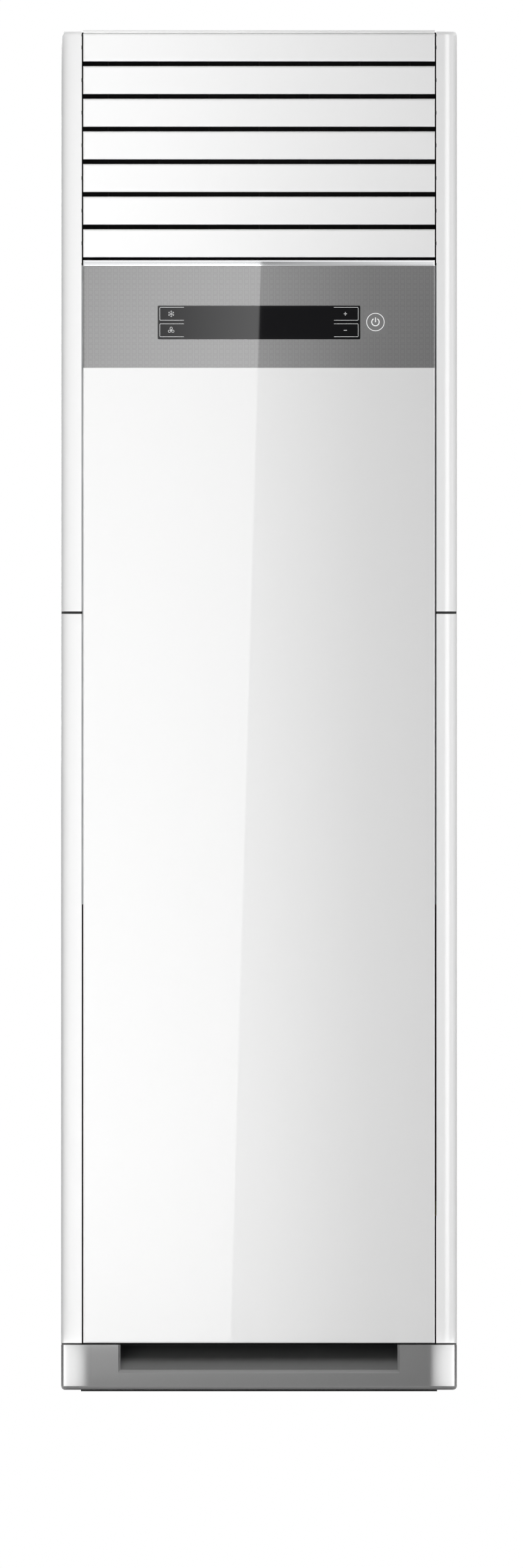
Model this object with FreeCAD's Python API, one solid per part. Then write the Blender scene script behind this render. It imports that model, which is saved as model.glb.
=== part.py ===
"""Floor-standing air conditioner, indoor unit: cabinet, tilting front panel,
linked louvres and vanes at the outlet, blower, coil and electrics.

Millimetres. X runs to the right, Y to the back and Z up. The origin is on the
floor, under the middle of the cabinet.
"""
import FreeCAD, Part
import math
import os

V = FreeCAD.Vector
ORIGIN = V(0, 0, 0)
X_AXIS = V(1, 0, 0)
Y_AXIS = V(0, 1, 0)
Z_AXIS = V(0, 0, 1)
QUARTER_TURN = 90.0
HALF_TURN = 180.0
FULL_TURN = 360.0

# Fits and cuts
OVERRUN = 4.0           # how far a cut runs past the faces it opens
SEAT_GAP = 0.3          # between pieces that are slipped into place
RUNNING_FIT = 0.05      # radial, pins and shafts in their holes
SAME_PLACE = 0.0004     # two places closer than this are one

# Cabinet
WIDTH = 520.0
DEPTH = 320.0
FRONT_CORNER_R = 40.0   # in plan
REAR_CORNER_R = 8.0     # in plan
SKIN = 2.5              # side panels
STRIP_W = 26.8          # the part of a side panel that shows from the front
FACE_SEAM = 2.2         # upright seams beside the front panel and the louvres
SEAM_INSET = 4.0        # how far the tongues inside the seams stand back
FACE_EDGE_R = 2.0       # edges of the front panel and its inlays
TOP_EDGE_R = 5.0        # top edge of the side panels
SIDE_DROP = 1.8         # side panels end this far below the top cover
COVER_T = 3.0
COVER_SEAM = 1.2        # above the highest louvre
SPLIT_Z = 1021.7        # top of the lower side panels
SPLIT_SEAM = 3.3

# Base
FOOT_H = 2.0            # rubber strips under the front and rear edges
FOOT_W = 16.0
FOOT_INSET = 8.0
FOOT_END_INSET = 26.0
BASE_TOP = 61.1
BASE_SEAM = 2.4
BASE_EDGE_R = 5.0
BASE_WALL = 6.0
SCOOP_HALF = 182.0      # finger recess under the front panel
SCOOP_FLOOR_Z = 28.2
SCOOP_DEPTH = 80.0
SCOOP_LIP = 4.4         # bevel round the recess, below
SCOOP_SIDE_LIP = 3.0    # bevel round the recess, at its sides
ANCHOR_SPACING_X = 400.0
ANCHOR_SPACING_Y = 200.0
ANCHOR_R = 4.5
ANCHOR_BOSS_R = 13.0

# Front panel
PANEL_TOP = 1486.9
PANEL_DEPTH = 12.0
PANEL_SKIN = 4.5
PANEL_FLANGE = 2.5
PANEL_LIP_T = 4.5       # the top edge is thin, to clear the lowest louvre
PANEL_LIP_H = 8.0
INLAY_T = 2.2           # trim, band and window lie in a recess this deep
TRIM_H = 7.8
TRIM_SEAM = 0.6
BAND_H = 133.4
WINDOW_W = 266.0
WINDOW_H = 44.2
WINDOW_DROP = 82.2      # window's middle below the panel's top
WINDOW_R = 1.5
INLAY_GAP = 0.1
BOARD_W = 240.0
BOARD_H = 36.0
BOARD_T = 1.6
APERTURE_W = 190.0      # opening in the panel behind the window
APERTURE_H = 24.0
HINGE_BACK = 8.0        # hinge axis behind the front face
HINGE_DROP = 16.9       # hinge axis below the panel's top
HINGE_PIN_R = 3.0
HOOK_X = 150.0
HOOK_W = 8.0
EAR_T = 3.0
EAR_W = 3.0             # material round the hinge pin
PIN_CLEAR = 1.0         # between hook and ear, along the pin

# Louvres
OUTLET_SEAM = 3.5
LOUVRE_COUNT = 7
LOUVRE_H = 36.8
LOUVRE_GAP = 6.1
LOUVRE_T = 6.0
LOUVRE_EDGE_R = 2.5
LOUVRE_AXIS_BACK = 18.0     # louvre axis behind the front face
LOUVRE_PIN_R = 2.5
LUG_T = 3.0
LUG_R = 5.0
LUG_INSET = 2.0
CRANK_ARM = 12.0
CRANK_REST_DEG = -40.0      # below the level line, behind the axis
CRANK_T = 3.0
CRANK_R = 4.0
CRANK_PIN_R = 2.0
CRANK_CLEAR = 2.5           # louvre end to crank, and link to outlet cheek
LINK_T = 2.5
LINK_W = 8.0
DRIVE_LOUVRE = 3            # the drive crank is level with this louvre, counted from 0
DRIVE_BACK = 44.0           # drive crank behind the louvre axes
DRIVE_ARM_DROP = 22.0       # the link's rear arm runs this far below its drive pin

# Outlet frame
CHEEK_T = 3.0
CHEEK_FRONT_BACK = 13.6     # front edge of the cheeks behind the front face
FLOOR_DROP = 3.9            # outlet floor below the front panel's top
FLOOR_T = 3.0
ROOF_DROP = 5.0             # outlet roof below the top cover
FRAME_BACK = 112.0          # rear edge behind the front face
FRAME_LUG_H = 24.0
FRAME_LUG_L = 20.0
RAIL_H = 28.0
RAIL_D = 26.0
RAIL_T = 2.0
RAIL_FRONT_BACK = 15.0      # rail's front behind the front face

# Vanes
VANE_COUNT = 7
VANE_MARGIN = 43.8      # outermost vanes to the outlet cheeks
VANE_FRONT_BACK = 46.0  # front edge of the vanes behind the front face
VANE_CHORD = 48.0
VANE_T = 2.0
VANE_CLEAR = 2.0        # above and below
VANE_PIN_R = 2.0
VANE_CRANK = 18.0
VANE_CRANK_R = 1.5
VANE_LINK_UP = 117.0    # above the outlet floor
VANE_LINK_H = 5.0
VANE_LINK_W = 8.0
NOTCH_H = 12.0
NOTCH_REACH = 8.0       # notch in front of its crank pin
MOTOR_R_SMALL = 14.0    # both steppers
MOTOR_LOUVRE_L = 10.0
MOTOR_VANE_L = 18.0
MOTOR_EAR_W = 42.0
MOTOR_EAR_H = 10.0
MOTOR_EAR_T = 1.2
DRIVE_DEPTH = 7.0       # shaft inside a stepper

# Rear panel
REAR_T = 1.2
REAR_RIBS = 3
REAR_RIB_PITCH = 130.0
REAR_RIB_W = 24.0
REAR_RIB_T = 2.0
REAR_RIB_FROM = 330.0
REAR_RIB_DROP = 188.8   # below the cabinet's top
PORT_INSET = 130.0      # port axis to the cabinet's right side
PORT_Z = 170.0
PORT_R = 32.0
GROMMET_WALL = 4.0
GROMMET_FLANGE = 8.0
GROMMET_LIP = 2.0
GROMMET_REACH = 12.0
BRACKET_W = 150.0
BRACKET_H = 46.0
BRACKET_T = 2.0
BRACKET_DROP = 78.8     # below the cabinet's top
BRACKET_HOLES = 100.0
BRACKET_HOLE_R = 3.5
SCREW_R = 4.0
SCREW_HEAD = 1.6
SCREW_INSET = 18.2
SCREW_ROWS = 5
SCREW_FROM = 130.0
SCREW_DROP = 48.8       # highest screws below the cabinet's top

# Return air
FILTER_FROM = 140.0
FILTER_TO = 630.0
FILTER_FRONT = -108.0
FILTER_BACK = 138.0
FILTER_T = 4.0
FILTER_MESH_T = 0.8
FILTER_BAR = 5.0
FILTER_COLUMNS = 3
FILTER_ROWS = 5
SLOT_COLUMNS = 12
SLOT_TIERS = 2
SLOT_W = 8.0
SLOT_PITCH = 19.0
SLOT_GAP = 24.0         # between tiers
SLOT_MARGIN = 14.0      # filter edge to slots

# Blower
SHELF_Z = 640.0
SHELF_T = 2.0
FAN_X = -21.0
FAN_Z = 360.0
FAN_R = 128.0
FAN_EYE_R = 106.0
FAN_FRONT = -44.0
FAN_BACK = 76.0
FAN_PLATE_T = 2.0
FAN_RING_W = 3.0
FAN_BLADES = 30
FAN_BLADE_T = 1.4
FAN_SWEEP_DEG = 11.0
FAN_BULGE = 5.0
HUB_R = 16.0
HUB_L = 24.0
SHAFT_R = 6.0
SCROLL_START = 12.0     # room between wheel and scroll at its tongue
SCROLL_STEP = 14.0      # growth of the scroll in each quarter turn
SCROLL_FRONT = -60.0
SCROLL_BACK = 95.0
SCROLL_WALL = 3.0
SCROLL_FOOT_W = 4.0
SCROLL_FOOT_X = 95.0
MOUTH_R = 96.0
MOUTH_FLARE = 14.0
MOUTH_L = 16.0
MOUTH_T = 2.5
MOTOR_R = 52.0
MOTOR_BOSS_R = 30.0
MOTOR_BOSS_L = 10.0
MOTOR_GAP = 2.0
MOTOR_L = 46.0
MOUNT_PLATE_W = 150.0
MOUNT_PLATE_H = 90.0
MOUNT_PLATE_T = 3.0

# Coil
COIL_MARGIN = 31.0      # ends of the fins inside the front panel's edges
COIL_T = 40.0
COIL_H = 600.0
COIL_LEAN_DEG = 20.0
COIL_FOOT_Y = -100.0
COIL_RAISE = 6.0        # the end plates stand out this far below the fins
END_T = 1.5
BEND_R = 12.0
TUBE_R = 4.8
BEND_COUNT = 6
BEND_PITCH_SHARE = 0.14 # shares of the coil's height
BEND_FROM_SHARE = 0.1167
PAN_MARGIN = 9.0        # ends of the pan inside the front panel's edges
PAN_FRONT = -140.0
PAN_BACK = -64.0
PAN_H = 36.0
PAN_WALL = 2.5
SPOUT_R = 9.0
SPOUT_BORE_R = 6.5
SPOUT_L = 30.0
SPOUT_INSET = 32.0
SPOUT_Y = -122.0
GAS_R = 6.4
LIQUID_R = 3.2
PIPE_OUT = 16.0
PIPE_BEND_R = 18.0
PIPE_END_Z = 250.0
GAS_UP_SHARE = 0.20     # where the pipes leave the coil, along its height
LIQUID_UP_SHARE = 0.35
NUT_SIZE_SHARE = 1.7    # corner-to-centre of a nut over its pipe's radius
NUT_LENGTH_SHARE = 3.0  # a nut's length over its pipe's radius
NUT_SIDES = 6

# Electrics
BOX_INSET = 21.0        # left side of the box inside the front panel's edge
BOX_W = 160.0
BOX_H = 145.0
BOX_FRONT = -138.0
BOX_D = 62.0
BOX_T = 1.5
MAINBOARD_MARGIN = 12.0
MAINBOARD_T = 1.6
STANDOFF = 8.0
STANDOFF_R = 3.0
TERMINAL_W = 70.0
TERMINAL_H = 24.0
TERMINAL_D = 18.0
TERMINAL_WAYS = 5
TERMINAL_SCREW_R = 4.0
DUCT_PLATE_T = 1.2

# Planes and places that follow from the sizes above
HALF_W = WIDTH / 2
FRONT_Y = -DEPTH / 2
REAR_Y = DEPTH / 2
STRIP_X = HALF_W - STRIP_W
FACE_HALF = STRIP_X - FACE_SEAM
PANEL_BOTTOM = BASE_TOP + BASE_SEAM
TRIM_BOTTOM = PANEL_TOP - TRIM_H - TRIM_SEAM
BAND_BOTTOM = TRIM_BOTTOM - BAND_H
WINDOW_Z = PANEL_TOP - WINDOW_DROP
OUTLET_BOTTOM = PANEL_TOP + OUTLET_SEAM
LOUVRE_PITCH = LOUVRE_H + LOUVRE_GAP
OUTLET_TOP = OUTLET_BOTTOM + LOUVRE_COUNT * LOUVRE_PITCH - LOUVRE_GAP
COVER_BOTTOM = OUTLET_TOP + COVER_SEAM
HEIGHT = COVER_BOTTOM + COVER_T
SIDE_TOP = HEIGHT - SIDE_DROP
INNER_X = HALF_W - SKIN
LOUVRE_Y = FRONT_Y + LOUVRE_AXIS_BACK
HINGE_Y = FRONT_Y + HINGE_BACK
HINGE_Z = PANEL_TOP - HINGE_DROP
CRANK_X = FACE_HALF + CRANK_CLEAR
LINK_X = CRANK_X + CRANK_T + SEAT_GAP
CHEEK_X = LINK_X + LINK_T + CRANK_CLEAR
FRAME_HALF = CHEEK_X + CHEEK_T
VANE_SPREAD = 2 * (CHEEK_X - VANE_MARGIN)
DRIVE_Y = LOUVRE_Y + DRIVE_BACK
DRIVE_Z = OUTLET_BOTTOM + LOUVRE_H / 2 + DRIVE_LOUVRE * LOUVRE_PITCH
FLOOR_Z = PANEL_TOP - FLOOR_DROP
ROOF_Z = COVER_BOTTOM - ROOF_DROP
RAIL_Y = FRONT_Y + RAIL_FRONT_BACK
RAIL_BOTTOM = FLOOR_Z - FLOOR_T - RAIL_H
VANE_FRONT = FRONT_Y + VANE_FRONT_BACK
VANE_BACK = VANE_FRONT + VANE_CHORD
VANE_Y = (VANE_FRONT + VANE_BACK) / 2
VANE_LINK_Z = FLOOR_Z + VANE_LINK_UP
REAR_PANEL_Y = REAR_Y - SKIN - REAR_T
REAR_HALF = STRIP_X - SEAT_GAP
PORT_X = HALF_W - PORT_INSET
SCREW_X = STRIP_X - SCREW_INSET
SCREW_TO = HEIGHT - SCREW_DROP
REAR_RIB_TO = HEIGHT - REAR_RIB_DROP
BRACKET_Z = HEIGHT - BRACKET_DROP
SHELF_TOP = SHELF_Z + SHELF_T
PAN_FLOOR_Z = SHELF_TOP + PAN_WALL
PAN_HALF = FACE_HALF - PAN_MARGIN
SPOUT_X = PAN_HALF - SPOUT_INSET
COIL_HALF = FACE_HALF - COIL_MARGIN
BOX_LEFT = BOX_INSET - FACE_HALF


def box(x0, x1, y0, y1, z0, z1):
    return Part.makeBox(x1 - x0, y1 - y0, z1 - z0, V(x0, y0, z0))


def rod_x(x0, x1, y, z, radius):
    return Part.makeCylinder(radius, x1 - x0, V(x0, y, z), X_AXIS)


def rod_y(y0, y1, x, z, radius):
    return Part.makeCylinder(radius, y1 - y0, V(x, y0, z), Y_AXIS)


def rod_z(z0, z1, x, y, radius):
    return Part.makeCylinder(radius, z1 - z0, V(x, y, z0), Z_AXIS)


def mirrored(shape):
    return shape.mirror(ORIGIN, X_AXIS)


def joined(pieces):
    return pieces[0].multiFuse(pieces[1:]).removeSplitter()


def group(pieces):
    return Part.makeCompound(pieces)


def spread(first, last, count):
    step = (last - first) / (count - 1)
    return [first + step * number for number in range(count)]


def edges_where(shape, test):
    """Edges whose two ends both pass the test."""
    return [e for e in shape.Edges if all(test(v.Point) for v in e.Vertexes)]


def near(a, b):
    return math.isclose(a, b, abs_tol=SAME_PLACE)


def flat_profile(points):
    corners = [V(*point) for point in points]
    return Part.Face(Part.makePolygon(corners + corners[:1]))


def cabinet_prism(inset, z0, z1):
    """The cabinet's rounded plan, moved inwards by inset, between two levels."""
    prism = box(inset - HALF_W, HALF_W - inset, FRONT_Y + inset, REAR_Y - inset, z0, z1)
    front = edges_where(prism, lambda p: near(p.y, FRONT_Y + inset))
    front = [e for e in front if near(e.Length, z1 - z0)]
    prism = prism.makeFillet(FRONT_CORNER_R - inset, front)
    rear = edges_where(prism, lambda p: near(p.y, REAR_Y - inset))
    rear = [e for e in rear if near(e.Length, z1 - z0)]
    return prism.makeFillet(REAR_CORNER_R - inset, rear)


def right_side(prism, inner_x, z0, z1):
    reach = box(inner_x, HALF_W + OVERRUN, FRONT_Y - OVERRUN, REAR_Y + OVERRUN, z0, z1)
    return prism.common(reach)


def side_shell(block, z0, z1):
    """A side panel: a block hollowed out from the inside of the cabinet."""
    cavity = cabinet_prism(SKIN, z0 + SKIN, z1 - SKIN)
    return block.cut(right_side(cavity, STRIP_X - OVERRUN, z0, z1))


def upper_side_panel():
    z0 = SPLIT_Z + SPLIT_SEAM
    prism = cabinet_prism(0, z0, SIDE_TOP)
    prism = prism.makeFillet(TOP_EDGE_R, edges_where(prism, lambda p: near(p.z, SIDE_TOP)))
    return side_shell(right_side(prism, STRIP_X, z0, SIDE_TOP), z0, SIDE_TOP)


def return_slot(y, z0, z1):
    """Cutter for one upright slot with round ends through a side wall."""
    x0 = INNER_X - OVERRUN
    x1 = HALF_W + OVERRUN
    radius = SLOT_W / 2
    middle = box(x0, x1, y - radius, y + radius, z0 + radius, z1 - radius)
    ends = [rod_x(x0, x1, y, z, radius) for z in (z0 + radius, z1 - radius)]
    return joined([middle] + ends)


def lower_side_panel():
    z0 = PANEL_BOTTOM
    block = right_side(cabinet_prism(0, z0, SPLIT_Z), STRIP_X, z0, SPLIT_Z)
    tongue_top = SPLIT_Z + SPLIT_SEAM
    tongue = right_side(cabinet_prism(SEAM_INSET, SPLIT_Z, tongue_top), STRIP_X, SPLIT_Z, tongue_top)
    panel = side_shell(block, z0, SPLIT_Z).fuse(tongue)
    run = (SLOT_COLUMNS - 1) * SLOT_PITCH
    middle = (FILTER_FRONT + FILTER_BACK) / 2
    first_z = FILTER_FROM + SLOT_MARGIN
    length = (FILTER_TO - SLOT_MARGIN - first_z - (SLOT_TIERS - 1) * SLOT_GAP) / SLOT_TIERS
    slots = []
    for tier in range(SLOT_TIERS):
        bottom = first_z + tier * (length + SLOT_GAP)
        for y in spread(middle - run / 2, middle + run / 2, SLOT_COLUMNS):
            slots.append(return_slot(y, bottom, bottom + length))
    return panel.cut(group(slots))


def scoop_cutter():
    """Finger recess: its floor slopes up to the back, under the front panel."""
    top = PANEL_BOTTOM + OVERRUN
    back = FRONT_Y + SCOOP_DEPTH
    lip_y = FRONT_Y + SCOOP_LIP
    lip_z = SCOOP_FLOOR_Z - SCOOP_LIP
    profile = flat_profile([(-SCOOP_HALF, lip_y, SCOOP_FLOOR_Z), (-SCOOP_HALF, back, BASE_TOP),
                            (-SCOOP_HALF, back, top), (-SCOOP_HALF, FRONT_Y - OVERRUN, top),
                            (-SCOOP_HALF, FRONT_Y - OVERRUN, SCOOP_FLOOR_Z)])
    hollow = profile.extrude(V(2 * SCOOP_HALF, 0, 0))
    mouth_half = SCOOP_HALF + SCOOP_SIDE_LIP
    mouth = Part.makePolygon([V(-mouth_half, FRONT_Y, top), V(-mouth_half, FRONT_Y, lip_z),
                              V(mouth_half, FRONT_Y, lip_z), V(mouth_half, FRONT_Y, top),
                              V(-mouth_half, FRONT_Y, top)])
    throat = Part.makePolygon([V(-SCOOP_HALF, lip_y, top), V(-SCOOP_HALF, lip_y, SCOOP_FLOOR_Z),
                               V(SCOOP_HALF, lip_y, SCOOP_FLOOR_Z), V(SCOOP_HALF, lip_y, top),
                               V(-SCOOP_HALF, lip_y, top)])
    return hollow.fuse(Part.makeLoft([mouth, throat], True, True))


def anchor_places():
    return [(x, y) for x in (-ANCHOR_SPACING_X / 2, ANCHOR_SPACING_X / 2)
            for y in (-ANCHOR_SPACING_Y / 2, ANCHOR_SPACING_Y / 2)]


def base_plinth():
    """Moulded tray with the finger recess in front and bosses for floor anchors."""
    body = cabinet_prism(0, FOOT_H, BASE_TOP)
    body = body.makeFillet(BASE_EDGE_R, edges_where(body, lambda p: near(p.z, FOOT_H)))
    body = body.fuse(cabinet_prism(SEAM_INSET, BASE_TOP, PANEL_BOTTOM))
    tray_front = FRONT_Y + SCOOP_DEPTH + BASE_WALL
    tray = cabinet_prism(SEAM_INSET + BASE_WALL / 2, FOOT_H + BASE_WALL, PANEL_BOTTOM + OVERRUN)
    tray = tray.common(box(-HALF_W, HALF_W, tray_front, REAR_Y, FOOT_H, PANEL_BOTTOM + OVERRUN))
    bosses = [rod_z(FOOT_H + BASE_WALL, BASE_TOP, x, y, ANCHOR_BOSS_R) for x, y in anchor_places()]
    body = body.cut(tray).cut(scoop_cutter())
    body = joined([body] + bosses)
    holes = [rod_z(-OVERRUN, PANEL_BOTTOM + OVERRUN, x, y, ANCHOR_R) for x, y in anchor_places()]
    return body.cut(group(holes))


def foot_pads():
    half = HALF_W - FOOT_END_INSET
    front = FRONT_Y + FOOT_INSET
    rear = REAR_Y - FOOT_INSET
    return group([box(-half, half, front, front + FOOT_W, 0, FOOT_H),
                  box(-half, half, rear - FOOT_W, rear, 0, FOOT_H)])


def top_cover():
    cover = box(-FACE_HALF, FACE_HALF, FRONT_Y, REAR_Y - SKIN, COVER_BOTTOM, HEIGHT)
    front = edges_where(cover, lambda p: near(p.y, FRONT_Y) and near(p.z, HEIGHT))
    return cover.makeFillet(FACE_EDGE_R, front)


def front_edges(shape, levels=()):
    """Upright edges of a front face, and its level edges at the given levels."""
    upright = [e for e in edges_where(shape, lambda p: near(p.y, FRONT_Y))
               if near(e.Vertexes[0].Point.x, e.Vertexes[-1].Point.x)]
    level = []
    for z in levels:
        level += edges_where(shape, lambda p: near(p.y, FRONT_Y) and near(p.z, z))
    return upright + level


def hinge_hook(x):
    """A hook behind the panel with its two pin ends, which lie in the rail's ears."""
    half = HOOK_W / 2
    arm_front = FRONT_Y + PANEL_SKIN - INLAY_T / 2
    arm = box(x - half, x + half, arm_front, HINGE_Y, HINGE_Z - HINGE_PIN_R, HINGE_Z + HINGE_PIN_R)
    reach = half + PIN_CLEAR + EAR_T
    return [arm, rod_x(x - reach, x + reach, HINGE_Y, HINGE_Z, HINGE_PIN_R)]


def front_panel():
    tray = box(-FACE_HALF, FACE_HALF, FRONT_Y, FRONT_Y + PANEL_DEPTH, PANEL_BOTTOM, PANEL_TOP)
    tray = tray.makeFillet(FACE_EDGE_R, front_edges(tray, [PANEL_BOTTOM]))
    inner_half = FACE_HALF - PANEL_FLANGE
    lip_z = PANEL_TOP - PANEL_LIP_H
    far = FRONT_Y + PANEL_DEPTH + OVERRUN
    hollow = box(-inner_half, inner_half, FRONT_Y + PANEL_SKIN, far,
                 PANEL_BOTTOM + PANEL_FLANGE, lip_z - PANEL_FLANGE)
    lip = box(-HALF_W, HALF_W, FRONT_Y + PANEL_LIP_T, far, lip_z, PANEL_TOP + OVERRUN)
    recess = box(-HALF_W, HALF_W, FRONT_Y - OVERRUN, FRONT_Y + INLAY_T, BAND_BOTTOM, PANEL_TOP + OVERRUN)
    aperture = box(-APERTURE_W / 2, APERTURE_W / 2, FRONT_Y, far,
                   WINDOW_Z - APERTURE_H / 2, WINDOW_Z + APERTURE_H / 2)
    panel = tray.cut(hollow).cut(lip).cut(recess).cut(aperture)
    return joined([panel] + hinge_hook(-HOOK_X) + hinge_hook(HOOK_X))


def inlay(z0, z1, levels):
    plate = box(-FACE_HALF, FACE_HALF, FRONT_Y, FRONT_Y + INLAY_T, z0, z1)
    return plate.makeFillet(FACE_EDGE_R, front_edges(plate, levels))


def window_block(growth, y0, y1):
    half_w = WINDOW_W / 2 + growth
    half_h = WINDOW_H / 2 + growth
    block = box(-half_w, half_w, y0, y1, WINDOW_Z - half_h, WINDOW_Z + half_h)
    along = [e for e in block.Edges if near(e.Length, y1 - y0)]
    return block.makeFillet(WINDOW_R + growth, along)


def trim_strip():
    return inlay(TRIM_BOTTOM + TRIM_SEAM, PANEL_TOP, [PANEL_TOP])


def control_band():
    plate = inlay(BAND_BOTTOM, TRIM_BOTTOM, [])
    return plate.cut(window_block(INLAY_GAP, FRONT_Y - OVERRUN, FRONT_Y + INLAY_T + OVERRUN))


def display_window():
    return window_block(0, FRONT_Y, FRONT_Y + INLAY_T)


def display_board():
    y0 = FRONT_Y + PANEL_SKIN
    return box(-BOARD_W / 2, BOARD_W / 2, y0, y0 + BOARD_T, WINDOW_Z - BOARD_H / 2, WINDOW_Z + BOARD_H / 2)


def louvre_z(number):
    return OUTLET_BOTTOM + LOUVRE_H / 2 + number * LOUVRE_PITCH


def crank_offset():
    angle = math.radians(CRANK_REST_DEG)
    return CRANK_ARM * math.cos(angle), CRANK_ARM * math.sin(angle)


def crank(y, z, shaft_end):
    """Crank arm and pin on a shaft along X that turns at (y, z)."""
    back, up = crank_offset()
    arm = box(CRANK_X, CRANK_X + CRANK_T, y, y + CRANK_ARM, z - CRANK_R, z + CRANK_R)
    arm.rotate(V(0, y, z), X_AXIS, CRANK_REST_DEG)
    return [arm, rod_x(CRANK_X, CRANK_X + CRANK_T, y, z, CRANK_R),
            rod_x(CRANK_X, CRANK_X + CRANK_T, y + back, z + up, CRANK_R),
            rod_x(CRANK_X, LINK_X + LINK_T + SEAT_GAP, y + back, z + up, CRANK_PIN_R),
            rod_x(CRANK_X, shaft_end, y, z, LOUVRE_PIN_R)]


def drive_crank():
    """The stepper's crank, which moves the link."""
    return joined(crank(DRIVE_Y, DRIVE_Z, FRAME_HALF + DRIVE_DEPTH))


def louvre(number):
    """A blade with its lugs, its two pivot pins and the crank at its right end."""
    z = louvre_z(number)
    blade = box(-FACE_HALF, FACE_HALF, FRONT_Y, FRONT_Y + LOUVRE_T, z - LOUVRE_H / 2, z + LOUVRE_H / 2)
    blade = blade.makeFillet(LOUVRE_EDGE_R, edges_where(blade, lambda p: near(p.y, FRONT_Y)))
    lug_x = FACE_HALF - LUG_INSET
    pieces = [blade]
    for x0 in (lug_x - LUG_T, -lug_x):
        pieces.append(rod_x(x0, x0 + LUG_T, LOUVRE_Y, z, LUG_R))
        pieces.append(box(x0, x0 + LUG_T, FRONT_Y + LOUVRE_T - RUNNING_FIT, LOUVRE_Y, z - LUG_R, z + LUG_R))
    pieces.append(rod_x(lug_x - LUG_T, CRANK_X, LOUVRE_Y, z, LOUVRE_PIN_R))
    pieces.append(rod_x(-FRAME_HALF, LUG_T - lug_x, LOUVRE_Y, z, LOUVRE_PIN_R))
    return joined(pieces + crank(LOUVRE_Y, z, FRAME_HALF))


def link_bar(y0, y1, z0, z1):
    """A straight stretch of the louvre link with round ends, upright or level."""
    half = LINK_W / 2
    level = y1 > y0
    grow_y = 0 if level else half
    grow_z = half if level else 0
    return [box(LINK_X, LINK_X + LINK_T, y0 - grow_y, y1 + grow_y, z0 - grow_z, z1 + grow_z),
            rod_x(LINK_X, LINK_X + LINK_T, y0, z0, half), rod_x(LINK_X, LINK_X + LINK_T, y1, z1, half)]


def louvre_link():
    """Flat bar that joins the cranks, with a rear arm to the drive crank's pin."""
    back, up = crank_offset()
    y = LOUVRE_Y + back
    drive_y = DRIVE_Y + back
    drive_z = DRIVE_Z + up
    arm_z = drive_z - DRIVE_ARM_DROP
    bar = joined(link_bar(y, y, louvre_z(0) + up, louvre_z(LOUVRE_COUNT - 1) + up)
                 + link_bar(y, drive_y, arm_z, arm_z) + link_bar(drive_y, drive_y, arm_z, drive_z))
    places = [(y, louvre_z(number) + up) for number in range(LOUVRE_COUNT)] + [(drive_y, drive_z)]
    holes = [rod_x(LINK_X - OVERRUN, LINK_X + LINK_T + OVERRUN, hole_y, hole_z, CRANK_PIN_R + RUNNING_FIT)
             for hole_y, hole_z in places]
    return bar.cut(group(holes))


def vane_x(number):
    return spread(-VANE_SPREAD / 2, VANE_SPREAD / 2, VANE_COUNT)[number]


def vane(number):
    """An upright vane with pins above and below and a notched crank pin behind."""
    x = vane_x(number)
    half = VANE_T / 2
    low = FLOOR_Z + VANE_CLEAR
    high = ROOF_Z - VANE_CLEAR
    blade = box(x - half, x + half, VANE_FRONT, VANE_BACK, low, high)
    long_edges = [e for e in blade.Edges if near(e.Length, high - low)]
    blade = blade.makeFillet(half - RUNNING_FIT, long_edges)
    crank_y = VANE_Y + VANE_CRANK
    notch_z = VANE_LINK_Z - NOTCH_H / 2
    notch = box(x - VANE_T, x + VANE_T, crank_y - NOTCH_REACH, VANE_BACK + OVERRUN,
                notch_z, notch_z + NOTCH_H)
    crank_pin = rod_z(notch_z - NOTCH_H / 2, notch_z + NOTCH_H + NOTCH_H / 2, x, crank_y, VANE_CRANK_R)
    foot = FLOOR_Z - FLOOR_T
    if number == 0:
        foot -= DRIVE_DEPTH
    pins = [rod_z(foot, low + NOTCH_H, x, VANE_Y, VANE_PIN_R),
            rod_z(high - NOTCH_H, ROOF_Z + FLOOR_T, x, VANE_Y, VANE_PIN_R)]
    return joined([blade.cut(notch), crank_pin] + pins)


def vane_link():
    y = VANE_Y + VANE_CRANK
    half_w = VANE_LINK_W / 2
    half_h = VANE_LINK_H / 2
    bar = box(-VANE_SPREAD / 2, VANE_SPREAD / 2, y - half_w, y + half_w,
              VANE_LINK_Z - half_h, VANE_LINK_Z + half_h)
    ends = [rod_z(VANE_LINK_Z - half_h, VANE_LINK_Z + half_h, x, y, half_w)
            for x in (-VANE_SPREAD / 2, VANE_SPREAD / 2)]
    holes = [rod_z(VANE_LINK_Z - VANE_LINK_H, VANE_LINK_Z + VANE_LINK_H, vane_x(number), y,
                   VANE_CRANK_R + RUNNING_FIT) for number in range(VANE_COUNT)]
    return joined([bar] + ends).cut(group(holes))


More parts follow.
